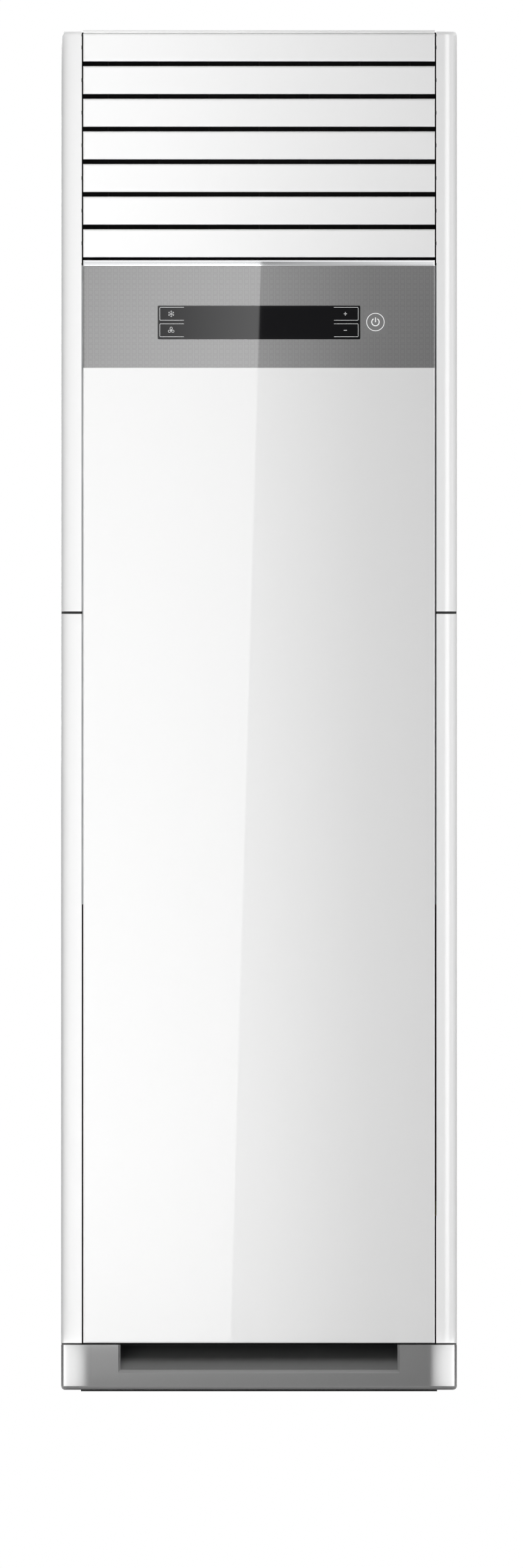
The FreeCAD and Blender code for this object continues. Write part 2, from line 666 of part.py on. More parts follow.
def outlet_frame():
    """Duct behind the louvres: floor, roof and cheeks with the pivot holes."""
    front = FRONT_Y + CHEEK_FRONT_BACK
    back = FRONT_Y + FRAME_BACK
    cheek = box(CHEEK_X, FRAME_HALF, front, back, FLOOR_Z - FLOOR_T, SIDE_TOP - SKIN)
    pieces = [cheek, mirrored(cheek)]
    pieces.append(box(-CHEEK_X, CHEEK_X, front, back, FLOOR_Z - FLOOR_T, FLOOR_Z))
    pieces.append(box(-CHEEK_X, CHEEK_X, front, back, ROOF_Z, ROOF_Z + FLOOR_T))
    for z in (FLOOR_Z, ROOF_Z - FRAME_LUG_H):
        lug = box(FRAME_HALF, INNER_X, back - FRAME_LUG_L, back, z, z + FRAME_LUG_H)
        pieces += [lug, mirrored(lug)]
    frame = joined(pieces)
    holes = []
    for number in range(LOUVRE_COUNT):
        reach = FRAME_HALF + OVERRUN
        radius = LOUVRE_PIN_R + RUNNING_FIT
        holes.append(rod_x(CHEEK_X - OVERRUN, reach, LOUVRE_Y, louvre_z(number), radius))
        holes.append(rod_x(-reach, OVERRUN - CHEEK_X, LOUVRE_Y, louvre_z(number), radius))
    holes.append(rod_x(CHEEK_X - OVERRUN, FRAME_HALF + OVERRUN, DRIVE_Y, DRIVE_Z, LOUVRE_PIN_R + RUNNING_FIT))
    for number in range(VANE_COUNT):
        radius = VANE_PIN_R + RUNNING_FIT
        holes.append(rod_z(FLOOR_Z - FLOOR_T - OVERRUN, COVER_BOTTOM, vane_x(number), VANE_Y, radius))
    return frame.cut(group(holes))


def cross_rail():
    """Channel under the outlet, with ears in which the front panel's hooks hang."""
    y1 = RAIL_Y + RAIL_D
    top = FLOOR_Z - FLOOR_T
    channel = box(-FRAME_HALF, FRAME_HALF, RAIL_Y, y1, RAIL_BOTTOM, top)
    hollow = box(-HALF_W, HALF_W, RAIL_Y + RAIL_T, y1 + OVERRUN, RAIL_BOTTOM + RAIL_T, top - RAIL_T)
    pieces = [channel.cut(hollow)]
    for x in (-HOOK_X, HOOK_X):
        for side in (-1, 1):
            near_x = x + side * (HOOK_W / 2 + PIN_CLEAR)
            far_x = near_x + side * EAR_T
            x0, x1 = sorted((near_x, far_x))
            ear = box(x0, x1, HINGE_Y - EAR_W, RAIL_Y, HINGE_Z - HINGE_PIN_R - EAR_W, HINGE_Z)
            pieces.append(ear.cut(rod_x(x0, x1, HINGE_Y, HINGE_Z, HINGE_PIN_R + RUNNING_FIT)))
    return joined(pieces)


def louvre_motor():
    """Stepper outside the right cheek, on the axis of the drive crank."""
    can = rod_x(FRAME_HALF, FRAME_HALF + MOTOR_LOUVRE_L, DRIVE_Y, DRIVE_Z, MOTOR_R_SMALL)
    half = MOTOR_EAR_W / 2
    ears = box(FRAME_HALF, FRAME_HALF + MOTOR_EAR_T, DRIVE_Y - half, DRIVE_Y + half,
               DRIVE_Z - MOTOR_EAR_H / 2, DRIVE_Z + MOTOR_EAR_H / 2)
    bore = rod_x(FRAME_HALF - OVERRUN, FRAME_HALF + DRIVE_DEPTH + SEAT_GAP, DRIVE_Y, DRIVE_Z,
                 LOUVRE_PIN_R + RUNNING_FIT)
    return joined([can, ears]).cut(bore)


def vane_motor():
    """Stepper under the outlet floor, on the axis of the first vane."""
    x = vane_x(0)
    top = FLOOR_Z - FLOOR_T
    can = rod_z(top - MOTOR_VANE_L, top, x, VANE_Y, MOTOR_R_SMALL)
    half = MOTOR_EAR_W / 2
    ears = box(x - half, x + half, VANE_Y - MOTOR_EAR_H / 2, VANE_Y + MOTOR_EAR_H / 2, top - MOTOR_EAR_T, top)
    bore = rod_z(top - DRIVE_DEPTH - SEAT_GAP, top + OVERRUN, x, VANE_Y, VANE_PIN_R + RUNNING_FIT)
    return joined([can, ears]).cut(bore)


def rear_panel():
    """Sheet behind the cabinet with pressed ribs, the pipe port and screw holes."""
    sheet = box(-REAR_HALF, REAR_HALF, REAR_PANEL_Y, REAR_PANEL_Y + REAR_T, PANEL_BOTTOM, COVER_BOTTOM)
    back = REAR_PANEL_Y + REAR_T
    pieces = [sheet]
    run = (REAR_RIBS - 1) * REAR_RIB_PITCH
    for x in spread(-run / 2, run / 2, REAR_RIBS):
        half = REAR_RIB_W / 2
        rib = box(x - half, x + half, back, back + REAR_RIB_T, REAR_RIB_FROM, REAR_RIB_TO)
        rim = edges_where(rib, lambda p: near(p.y, back + REAR_RIB_T))
        pieces.append(rib.makeChamfer(REAR_RIB_T - RUNNING_FIT, rim))
    holes = [rod_y(REAR_PANEL_Y - OVERRUN, REAR_Y, PORT_X, PORT_Z, PORT_R + GROMMET_WALL + SEAT_GAP)]
    for x in (-BRACKET_HOLES / 2, BRACKET_HOLES / 2):
        holes.append(rod_y(REAR_PANEL_Y - OVERRUN, REAR_Y, x, BRACKET_Z, BRACKET_HOLE_R))
    return joined(pieces).cut(group(holes))


def pipe_grommet():
    back = REAR_PANEL_Y + REAR_T
    sleeve = rod_y(back - GROMMET_REACH, back + GROMMET_LIP, PORT_X, PORT_Z, PORT_R + GROMMET_WALL)
    flange = rod_y(back, back + GROMMET_LIP, PORT_X, PORT_Z, PORT_R + GROMMET_WALL + GROMMET_FLANGE)
    bore = rod_y(back - GROMMET_REACH - OVERRUN, REAR_Y + OVERRUN, PORT_X, PORT_Z, PORT_R)
    return joined([sleeve, flange]).cut(bore)


def wall_bracket():
    back = REAR_PANEL_Y + REAR_T
    plate = box(-BRACKET_W / 2, BRACKET_W / 2, back, back + BRACKET_T,
                BRACKET_Z - BRACKET_H / 2, BRACKET_Z + BRACKET_H / 2)
    corners = [e for e in plate.Edges if near(e.Length, BRACKET_T)]
    plate = plate.makeFillet(BRACKET_H / 4, corners)
    holes = [rod_y(back - OVERRUN, REAR_Y + OVERRUN, x, BRACKET_Z, BRACKET_HOLE_R)
             for x in (-BRACKET_HOLES / 2, BRACKET_HOLES / 2)]
    return plate.cut(group(holes))


def cabinet_screws():
    back = REAR_PANEL_Y + REAR_T
    return group([rod_y(back, back + SCREW_HEAD, x, z, SCREW_R)
                  for x in (-SCREW_X, SCREW_X) for z in spread(SCREW_FROM, SCREW_TO, SCREW_ROWS)])


def side_filter():
    """Slide-in filter: a ribbed frame round a fine mesh sheet."""
    x1 = INNER_X - SEAT_GAP
    x0 = x1 - FILTER_T
    frame = box(x0, x1, FILTER_FRONT, FILTER_BACK, FILTER_FROM, FILTER_TO)
    cell_y = (FILTER_BACK - FILTER_FRONT - FILTER_BAR) / FILTER_COLUMNS
    cell_z = (FILTER_TO - FILTER_FROM - FILTER_BAR) / FILTER_ROWS
    mesh_x = (x0 + x1 - FILTER_MESH_T) / 2
    gaps = []
    for column in range(FILTER_COLUMNS):
        y = FILTER_FRONT + FILTER_BAR + column * cell_y
        for row in range(FILTER_ROWS):
            z = FILTER_FROM + FILTER_BAR + row * cell_z
            y1 = y + cell_y - FILTER_BAR
            z1 = z + cell_z - FILTER_BAR
            gaps.append(box(x0 - OVERRUN, mesh_x, y, y1, z, z1))
            gaps.append(box(mesh_x + FILTER_MESH_T, x1 + OVERRUN, y, y1, z, z1))
    return frame.cut(group(gaps))


def scroll_profile(growth, top):
    """Blower spiral in the X-Z plane: three quarter arcs, then straight up to the mouth."""
    r1 = FAN_R + SCROLL_START + growth
    r2 = r1 + SCROLL_STEP
    r3 = r2 + SCROLL_STEP
    turn = math.radians(QUARTER_TURN / 2)
    cos = math.cos(turn)
    sin = math.sin(turn)
    c2x = FAN_X + SCROLL_STEP
    c3z = FAN_Z + SCROLL_STEP
    tongue = V(FAN_X - growth, 0, FAN_Z + r1)
    left = V(FAN_X - r1, 0, FAN_Z)
    low = V(c2x, 0, FAN_Z - r2)
    right = V(c2x + r3, 0, c3z)
    mouth_right = V(c2x + r3, 0, top)
    mouth_left = V(FAN_X - growth, 0, top)
    arcs = [Part.Arc(tongue, V(FAN_X - r1 * cos, 0, FAN_Z + r1 * sin), left),
            Part.Arc(left, V(c2x - r2 * cos, 0, FAN_Z - r2 * sin), low),
            Part.Arc(low, V(c2x + r3 * cos, 0, c3z - r3 * sin), right)]
    edges = [arc.toShape() for arc in arcs]
    for start, end in ((right, mouth_right), (mouth_right, mouth_left), (mouth_left, tongue)):
        edges.append(Part.makeLine(start, end))
    return Part.Face(Part.Wire(edges))


def scroll_slab(growth, y0, y1, top):
    slab = scroll_profile(growth, top).extrude(V(0, y1 - y0, 0))
    slab.translate(V(0, y0, 0))
    return slab


def fan_scroll():
    """Blower housing on two feet, open at the inlet in front and at the mouth above."""
    outer = scroll_slab(SCROLL_WALL, SCROLL_FRONT, SCROLL_BACK, SHELF_Z)
    inner = scroll_slab(0, SCROLL_FRONT + SCROLL_WALL, SCROLL_BACK - SCROLL_WALL, SHELF_Z + OVERRUN)
    feet = []
    foot_floor = FOOT_H + BASE_WALL
    for x in (FAN_X - SCROLL_FOOT_X, FAN_X + SCROLL_FOOT_X):
        foot = box(x - SCROLL_FOOT_W / 2, x + SCROLL_FOOT_W / 2, SCROLL_FRONT, SCROLL_BACK, foot_floor, FAN_Z)
        feet.append(foot.cut(outer))
    housing = joined([outer] + feet).cut(inner)
    eye = rod_y(SCROLL_FRONT - OVERRUN, SCROLL_FRONT + SCROLL_WALL + OVERRUN, FAN_X, FAN_Z, MOUTH_R + MOUTH_T)
    boss = rod_y(SCROLL_BACK - SCROLL_WALL - OVERRUN, SCROLL_BACK + OVERRUN, FAN_X, FAN_Z,
                 MOTOR_BOSS_R + SEAT_GAP)
    return housing.cut(eye).cut(boss)


def bell_mouth():
    """Inlet ring, turned: a flare in front that narrows into a short throat."""
    throat_r = MOUTH_R - SEAT_GAP
    flare_r = throat_r + MOUTH_FLARE
    y0 = SCROLL_FRONT - MOUTH_T
    profile = flat_profile([(throat_r, y0, 0), (flare_r, y0, 0), (flare_r, SCROLL_FRONT, 0),
                            (throat_r + MOUTH_T, SCROLL_FRONT, 0),
                            (throat_r + MOUTH_T, SCROLL_FRONT + MOUTH_L - MOUTH_T, 0),
                            (throat_r, SCROLL_FRONT + MOUTH_L - MOUTH_T, 0)])
    ring = profile.revolve(ORIGIN, Y_AXIS, FULL_TURN)
    ring.translate(V(FAN_X, 0, FAN_Z))
    return ring


def fan_blade(number):
    """One forward-curved blade, a thin arc between the eye and the rim."""
    angle = FULL_TURN / FAN_BLADES * number
    sweep = math.radians(FAN_SWEEP_DEG)
    tip_r = FAN_R - FAN_RING_W / 2
    tip = V(tip_r * math.cos(sweep), 0, tip_r * math.sin(sweep))
    root = V(FAN_EYE_R, 0, 0)
    along = (tip - root).normalize()
    across = V(-along.z, 0, along.x)
    middle = (root + tip) * 0.5 - across * FAN_BULGE
    shift = across * FAN_BLADE_T
    edges = [Part.Arc(root, middle, tip).toShape(), Part.makeLine(tip, tip + shift),
             Part.Arc(tip + shift, middle + shift, root + shift).toShape(), Part.makeLine(root + shift, root)]
    blade = Part.Face(Part.Wire(edges)).extrude(V(0, FAN_BACK - FAN_FRONT, 0))
    blade.translate(V(0, FAN_FRONT, 0))
    blade.rotate(ORIGIN, Y_AXIS, angle)
    return blade


def fan_wheel():
    """Blower wheel: back plate, rim, curved blades and a bored hub."""
    plate = rod_y(FAN_BACK - FAN_PLATE_T, FAN_BACK, 0, 0, FAN_R)
    rim = rod_y(FAN_FRONT, FAN_FRONT + FAN_RING_W, 0, 0, FAN_R)
    rim = rim.cut(rod_y(FAN_FRONT - OVERRUN, FAN_BACK, 0, 0, FAN_EYE_R))
    hub = rod_y(FAN_BACK - HUB_L, FAN_BACK, 0, 0, HUB_R)
    bore = rod_y(FAN_FRONT, FAN_BACK + OVERRUN, 0, 0, SHAFT_R + RUNNING_FIT)
    wheel = joined([plate, rim, hub] + [fan_blade(number) for number in range(FAN_BLADES)]).cut(bore)
    wheel.translate(V(FAN_X, 0, FAN_Z))
    return wheel


def motor_front():
    return SCROLL_BACK + MOTOR_GAP


def motor_shaft():
    return rod_y(FAN_BACK - HUB_L, motor_front() + MOTOR_L / 2, FAN_X, FAN_Z, SHAFT_R)


def fan_motor():
    y0 = motor_front()
    can = rod_y(y0, y0 + MOTOR_L, FAN_X, FAN_Z, MOTOR_R)
    ends = [e for e in can.Edges if near(e.Length, math.tau * MOTOR_R)]
    can = can.makeChamfer(MOTOR_GAP, ends)
    boss = rod_y(y0 - MOTOR_BOSS_L, y0 + MOTOR_GAP, FAN_X, FAN_Z, MOTOR_BOSS_R)
    bore = rod_y(y0 - MOTOR_BOSS_L - OVERRUN, y0 + MOTOR_L / 2, FAN_X, FAN_Z, SHAFT_R + RUNNING_FIT)
    return joined([can, boss]).cut(bore)


def motor_bracket():
    """Channel that carries the motor's back end on the rear panel."""
    y0 = motor_front() + MOTOR_L
    half = MOUNT_PLATE_W / 2
    z0 = FAN_Z - MOUNT_PLATE_H / 2
    z1 = FAN_Z + MOUNT_PLATE_H / 2
    block = box(FAN_X - half, FAN_X + half, y0, REAR_PANEL_Y, z0, z1)
    inner = half - MOUNT_PLATE_T
    return block.cut(box(FAN_X - inner, FAN_X + inner, y0 + MOUNT_PLATE_T, REAR_PANEL_Y + OVERRUN,
                         z0 - OVERRUN, z1 + OVERRUN))


def shelf():
    """Level plate between the intake and the coil, with the blower's mouth in it."""
    reach = box(-HALF_W, HALF_W, RAIL_Y, REAR_PANEL_Y, SHELF_Z, SHELF_TOP)
    plate = cabinet_prism(SKIN + SEAT_GAP, SHELF_Z, SHELF_TOP).common(reach)
    mouth_right = FAN_X + FAN_R + SCROLL_START + 3 * SCROLL_STEP
    low = SHELF_Z - OVERRUN
    high = SHELF_TOP + OVERRUN
    cuts = [box(FAN_X, mouth_right, SCROLL_FRONT + SCROLL_WALL, SCROLL_BACK - SCROLL_WALL, low, high),
            rod_z(low, high, SPOUT_X, SPOUT_Y, SPOUT_R + SEAT_GAP)]
    for radius, up_share in ((GAS_R, GAS_UP_SHARE), (LIQUID_R, LIQUID_UP_SHARE)):
        start = pipe_start(up_share)
        cuts.append(rod_z(low, high, start.x + PIPE_OUT + PIPE_BEND_R, start.y, radius + SEAT_GAP))
    return plate.cut(group(cuts))


def drain_pan():
    """Trough under the coil, with a spout for the drain hose at its right end."""
    outer = box(-PAN_HALF, PAN_HALF, PAN_FRONT, PAN_BACK, SHELF_TOP, SHELF_TOP + PAN_H)
    hollow = box(PAN_WALL - PAN_HALF, PAN_HALF - PAN_WALL, PAN_FRONT + PAN_WALL, PAN_BACK - PAN_WALL,
                 PAN_FLOOR_Z, SHELF_TOP + PAN_H + OVERRUN)
    spout = rod_z(SHELF_Z - SPOUT_L, SHELF_TOP, SPOUT_X, SPOUT_Y, SPOUT_R)
    bore = rod_z(SHELF_Z - SPOUT_L - OVERRUN, PAN_FLOOR_Z + OVERRUN, SPOUT_X, SPOUT_Y, SPOUT_BORE_R)
    return joined([outer.cut(hollow), spout]).cut(bore)


def leaned(shape):
    """Puts a shape made upright at the coil's foot into the coil's leaning place."""
    shape.rotate(ORIGIN, X_AXIS, -COIL_LEAN_DEG)
    heel = (COIL_T / 2 + END_T) * math.sin(lean()) + COIL_RAISE * math.cos(lean())
    shape.translate(V(0, COIL_FOOT_Y, PAN_FLOOR_Z + heel))
    return shape


def lean():
    return math.radians(COIL_LEAN_DEG)


def evaporator_coil():
    return leaned(box(-COIL_HALF, COIL_HALF, -COIL_T / 2, COIL_T / 2, 0, COIL_H))


def coil_end_plates():
    """Plates at both ends of the fins, which stand in the drain pan."""
    half = COIL_T / 2 + END_T
    right = leaned(box(COIL_HALF, COIL_HALF + END_T, -half, half, -COIL_RAISE, COIL_H + END_T))
    return group([right, mirrored(right)])


def coil_bends():
    """Return bends of the coil's tubes, outside the right end plate."""
    x = COIL_HALF + END_T
    bends = []
    for number in range(BEND_COUNT):
        z = COIL_H * (BEND_FROM_SHARE + number * BEND_PITCH_SHARE)
        tube = Part.Face(Part.Wire(Part.makeCircle(TUBE_R, V(x, 0, z), X_AXIS)))
        bends.append(leaned(tube.revolve(V(x, 0, z + BEND_R), V(0, -1, 0), HALF_TURN)))
    return group(bends)


def pipe_start(up_share):
    place = V(COIL_HALF + END_T, 0, COIL_H * up_share)
    start = Part.Vertex(place)
    return leaned(start).Point


def pipe(radius, up_share):
    """Copper pipe from the coil's end plate, bent down along the cabinet's side."""
    start = pipe_start(up_share)
    bend_x = start.x + PIPE_OUT
    centre = V(bend_x, start.y, start.z - PIPE_BEND_R)
    turn = math.radians(QUARTER_TURN / 2)
    bend = centre + V(PIPE_BEND_R * math.sin(turn), 0, PIPE_BEND_R * math.cos(turn))
    bend_end = centre + V(PIPE_BEND_R, 0, 0)
    low = V(bend_end.x, start.y, PIPE_END_Z)
    route = Part.Wire([Part.makeLine(start, V(bend_x, start.y, start.z)),
                       Part.Arc(V(bend_x, start.y, start.z), bend, bend_end).toShape(),
                       Part.makeLine(bend_end, low)])
    section = Part.Wire(Part.makeCircle(radius, start, X_AXIS))
    return route.makePipeShell([section], True, False)


def flare_nut(radius, up_share):
    """Six-sided nut on the lower end of a pipe."""
    start = pipe_start(up_share)
    x = start.x + PIPE_OUT + PIPE_BEND_R
    length = radius * NUT_LENGTH_SHARE
    size = radius * NUT_SIZE_SHARE
    corners = []
    for number in range(NUT_SIDES):
        angle = math.radians(FULL_TURN / NUT_SIDES * number)
        corners.append((x + size * math.cos(angle), start.y + size * math.sin(angle), PIPE_END_Z))
    return flat_profile(corners).extrude(V(0, 0, -length))


def flare_nuts():
    return group([flare_nut(GAS_R, GAS_UP_SHARE), flare_nut(LIQUID_R, LIQUID_UP_SHARE)])


def control_box():
    """Sheet-metal tray for the electrics, hung under the shelf, open in front."""
    y1 = BOX_FRONT + BOX_D
    outer = box(BOX_LEFT, BOX_LEFT + BOX_W, BOX_FRONT, y1, SHELF_Z - BOX_H, SHELF_Z)
    inner = box(BOX_LEFT + BOX_T, BOX_LEFT + BOX_W - BOX_T, BOX_FRONT - OVERRUN, y1 - BOX_T,
                SHELF_Z - BOX_H + BOX_T, SHELF_Z - BOX_T)
    return outer.cut(inner)


def control_box_cover():
    return box(BOX_LEFT, BOX_LEFT + BOX_W, BOX_FRONT - BOX_T, BOX_FRONT, SHELF_Z - BOX_H, SHELF_Z)


def control_board():
    """Main board on its standoffs, at the back of the control box."""
    wall = BOX_FRONT + BOX_D - BOX_T
    x0 = BOX_LEFT + MAINBOARD_MARGIN
    x1 = BOX_LEFT + BOX_W - MAINBOARD_MARGIN
    z0 = SHELF_Z - BOX_H + 2 * MAINBOARD_MARGIN + TERMINAL_H
    z1 = SHELF_Z - MAINBOARD_MARGIN
    face = wall - STANDOFF
    board = [box(x0, x1, face - MAINBOARD_T, face, z0, z1)]
    for x in (x0 + MAINBOARD_MARGIN, x1 - MAINBOARD_MARGIN):
        for z in (z0 + MAINBOARD_MARGIN, z1 - MAINBOARD_MARGIN):
            board.append(rod_y(face, wall, x, z, STANDOFF_R))
    return joined(board)


def terminal_block():
    """Screw terminals for the supply, at the foot of the control box."""
    wall = BOX_FRONT + BOX_D - BOX_T
    x0 = BOX_LEFT + MAINBOARD_MARGIN
    z0 = SHELF_Z - BOX_H + MAINBOARD_MARGIN
    block = box(x0, x0 + TERMINAL_W, wall - TERMINAL_D, wall, z0, z0 + TERMINAL_H)
    pitch = TERMINAL_W / TERMINAL_WAYS
    wells = [rod_y(wall - TERMINAL_D - OVERRUN, wall - TERMINAL_D / 2, x0 + pitch * (number + 0.5),
                   z0 + TERMINAL_H / 2, TERMINAL_SCREW_R) for number in range(TERMINAL_WAYS)]
    return block.cut(group(wells))


def duct_front_plate():
    """Sheet between shelf and outlet that closes the air duct behind the front panel."""
    y0 = RAIL_Y - DUCT_PLATE_T
    return box(-STRIP_X, STRIP_X, y0, RAIL_Y, SHELF_Z, HINGE_Z - HINGE_PIN_R - EAR_W - SEAT_GAP)


def make_all():
    nodes = {
        "base_plinth": base_plinth(),
        "foot_pads": foot_pads(),
        "lower_side_panel_right": lower_side_panel(),
        "upper_side_panel_right": upper_side_panel(),
        "top_cover": top_cover(),
        "rear_panel": rear_panel(),
        "pipe_grommet": pipe_grommet(),
        "wall_bracket": wall_bracket(),
        "cabinet_screws": cabinet_screws(),
        "outlet_frame": outlet_frame(),
        "cross_rail": cross_rail(),
        "duct_front_plate": duct_front_plate(),
        "louvre_motor": louvre_motor(),
        "vane_motor": vane_motor(),
        "filter_right": side_filter(),
        "shelf": shelf(),
        "fan_scroll": fan_scroll(),
        "bell_mouth": bell_mouth(),
        "fan_motor": fan_motor(),
        "motor_bracket": motor_bracket(),
        "drain_pan": drain_pan(),
        "evaporator_coil": evaporator_coil(),
        "coil_end_plates": coil_end_plates(),
        "coil_bends": coil_bends(),
        "gas_pipe": pipe(GAS_R, GAS_UP_SHARE),
        "liquid_pipe": pipe(LIQUID_R, LIQUID_UP_SHARE),
        "flare_nuts": flare_nuts(),
        "control_box": control_box(),
        "control_box_cover": control_box_cover(),
        "control_board": control_board(),
        "terminal_block": terminal_block(),
        "fan_wheel": fan_wheel(),
        "motor_shaft": motor_shaft(),
        "front_panel": front_panel(),
        "trim_strip": trim_strip(),
        "control_band": control_band(),
        "display_window": display_window(),
        "display_board": display_board(),
        "louvre_link": louvre_link(),
        "drive_crank": drive_crank(),
        "vane_link": vane_link(),
    }
    for name in ("lower_side_panel", "upper_side_panel", "filter"):
        nodes[name + "_left"] = mirrored(nodes[name + "_right"])
    for number in range(LOUVRE_COUNT):
        nodes["louvre_%d" % (number + 1)] = louvre(number)
    for number in range(VANE_COUNT):
        nodes["vane_%d" % (number + 1)] = vane(number)
    return nodes


os.makedirs("parts", exist_ok=True)
for node_name, shape in make_all().items():
    shape.exportStep("parts/%s.step" % node_name)
    print(node_name, "solids", len(shape.Solids), "valid", shape.isValid(), "volume", round(shape.Volume))
print("cabinet", WIDTH, "x", DEPTH, "x", round(HEIGHT, 1))
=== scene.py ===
# %% [markdown]
# # A floor-standing air conditioner, dressed in Blender
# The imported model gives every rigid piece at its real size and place. This lesson adds the finishes, the
# thin prints on the control band, the foam in the seams and a plain studio. Everything is in metres, in the
# model's own frame: X to the right, Y to the back, Z up, with the floor at zero.

# %% Load the model
import bpy
import bmesh
import math
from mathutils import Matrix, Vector


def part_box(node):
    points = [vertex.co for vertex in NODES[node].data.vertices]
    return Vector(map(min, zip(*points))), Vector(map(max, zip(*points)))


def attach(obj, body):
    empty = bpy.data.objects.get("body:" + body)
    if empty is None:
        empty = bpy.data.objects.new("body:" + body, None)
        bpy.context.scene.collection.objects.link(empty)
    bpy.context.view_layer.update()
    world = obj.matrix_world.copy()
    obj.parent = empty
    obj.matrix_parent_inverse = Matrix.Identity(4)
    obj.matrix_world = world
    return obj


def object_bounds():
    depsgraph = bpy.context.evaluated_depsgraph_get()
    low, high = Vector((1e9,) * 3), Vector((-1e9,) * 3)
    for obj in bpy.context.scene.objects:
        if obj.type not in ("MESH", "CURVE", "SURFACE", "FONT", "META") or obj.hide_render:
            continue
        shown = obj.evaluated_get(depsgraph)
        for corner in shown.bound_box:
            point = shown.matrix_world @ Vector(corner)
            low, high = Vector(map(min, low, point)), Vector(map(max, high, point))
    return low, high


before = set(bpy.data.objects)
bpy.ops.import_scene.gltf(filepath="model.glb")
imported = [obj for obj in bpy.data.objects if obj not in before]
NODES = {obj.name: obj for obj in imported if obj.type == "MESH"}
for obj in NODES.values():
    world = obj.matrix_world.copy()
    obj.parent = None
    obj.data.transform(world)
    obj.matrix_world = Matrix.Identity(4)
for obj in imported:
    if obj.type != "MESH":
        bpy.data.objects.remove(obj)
CAD_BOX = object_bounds()
MM = 0.001

# %% [markdown]
# ## Places read from the model
# The prints, the foam and the lights line up with real pieces. Their places could be typed in, but here
# they come from the boxes of those pieces. If a size changes in the model, what is added here follows it.

# %% Measure the pieces
PANEL_LOW, PANEL_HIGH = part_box("front_panel")
BAND_LOW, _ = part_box("control_band")
TRIM_LOW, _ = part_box("trim_strip")
WINDOW_LOW, WINDOW_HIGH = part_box("display_window")
COVER_LOW, COVER_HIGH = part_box("top_cover")
FACE_Y = WINDOW_LOW.y
WINDOW_MID = (WINDOW_LOW + WINDOW_HIGH) / 2
print("front face at y", round(FACE_Y, 4), "window middle at z", round(WINDOW_MID.z, 4))

# %% [markdown]
# ## A finish and its nodes
# Every finish here is a Principled shader. One could set it up by hand in the shader editor, but there are
# many, so a few helpers add the nodes and wire them. A value that is the same all over the surface is set
# on the shader's own socket, where the export finds it.

# %% Shader helpers
PLASTIC_IOR = 1.5


def new_finish(name, color, rough, metallic=0.0, specular=0.5):
    """A Principled material with its constant values set on the shader's own sockets."""
    material = bpy.data.materials.new(name)
    material.use_nodes = True
    shader = material.node_tree.nodes["Principled BSDF"]
    shader.inputs["Base Color"].default_value = (*color, 1.0)
    shader.inputs["Roughness"].default_value = rough
    shader.inputs["Metallic"].default_value = metallic
    shader.inputs["IOR"].default_value = PLASTIC_IOR
    shader.inputs["Specular IOR Level"].default_value = specular
    return material, shader


def add_node(material, kind, **settings):
    node = material.node_tree.nodes.new(kind)
    for name, value in settings.items():
        if name in node.inputs:
            node.inputs[name].default_value = value
        else:
            setattr(node, name, value)
    return node


def wire(material, source, target):
    material.node_tree.links.new(source, target)


print("materials that came with the model", len(bpy.data.materials))

# %% [markdown]
# ## Textures that vary a finish
# Real plastic is never quite even: its tone and gloss drift a little, and its skin has a fine grain.
# Painted images could show that, but noise textures need no file and have no seams. They read object
# coordinates. All pieces share one origin, so a pattern has the same scale on each of them.

# %% Texture helpers
NOISE_DETAIL = 2.0


def object_place(material):
    return add_node(material, "ShaderNodeTexCoord").outputs["Object"]


def noise(material, scale, place):
    texture = add_node(material, "ShaderNodeTexNoise", Scale=scale, Detail=NOISE_DETAIL)
    wire(material, place, texture.inputs["Vector"])
    return texture.outputs["Fac"]


def spread_value(material, source, low, high):
    """Maps a texture that runs from 0 to 1 to a range of values."""
    mapping = add_node(material, "ShaderNodeMapRange")
    mapping.inputs["To Min"].default_value = low
    mapping.inputs["To Max"].default_value = high
    wire(material, source, mapping.inputs["Value"])
    return mapping.outputs["Result"]


def two_colors(material, source, first, second):
    ramp = add_node(material, "ShaderNodeValToRGB")
    ramp.color_ramp.elements[0].color = (*first, 1.0)
    ramp.color_ramp.elements[1].color = (*second, 1.0)
    wire(material, source, ramp.inputs["Fac"])
    return ramp.outputs["Color"]


def shade(color, share):
    return tuple(channel * share for channel in color)


def add_bump(material, shader, source, height, strength):
    bump = add_node(material, "ShaderNodeBump", Strength=strength, Distance=height)
    wire(material, source, bump.inputs["Height"])
    wire(material, bump.outputs["Normal"], shader.inputs["Normal"])


print("noise detail", NOISE_DETAIL)

# %% [markdown]
# ## The front panel
# The panel is white plastic under a clear gloss layer: it shows the edge of a studio card as one sharp
# slanted line. A low roughness alone would make the plastic itself look like glass. A Principled coat gives
# the sharp layer, and the plastic below stays soft.

# %% Front panel
CLOUD_SCALE = 6.0
CLOUD_TONE = 0.992
GLOSS_SPREAD = 0.05
GRAIN_STRENGTH = 0.5
CLEAR_COAT_ROUGH = 0.02
PANEL_WHITE = (0.795, 0.795, 0.795)


def moulded(name, color, rough, grain=0.0, grain_height=0.0, **more):
    """Moulded plastic or paint: slight changes of tone and gloss, and a fine skin grain."""
    material, shader = new_finish(name, color, rough, **more)
    place = object_place(material)
    cloud = noise(material, CLOUD_SCALE, place)
    wire(material, two_colors(material, cloud, shade(color, CLOUD_TONE), color), shader.inputs["Base Color"])
    gloss = spread_value(material, cloud, rough * (1 - GLOSS_SPREAD), rough * (1 + GLOSS_SPREAD))
    wire(material, gloss, shader.inputs["Roughness"])
    if grain_height:
        add_bump(material, shader, noise(material, grain, place), grain_height, GRAIN_STRENGTH)
    return material, shader


def clear_coat(shader):
    shader.inputs["Coat Weight"].default_value = 1.0
    shader.inputs["Coat Roughness"].default_value = CLEAR_COAT_ROUGH


def dress(material, *names):
    for name in names:
        NODES[name].data.materials.clear()
        NODES[name].data.materials.append(material)
    print(material.name, "on", len(names), "nodes")


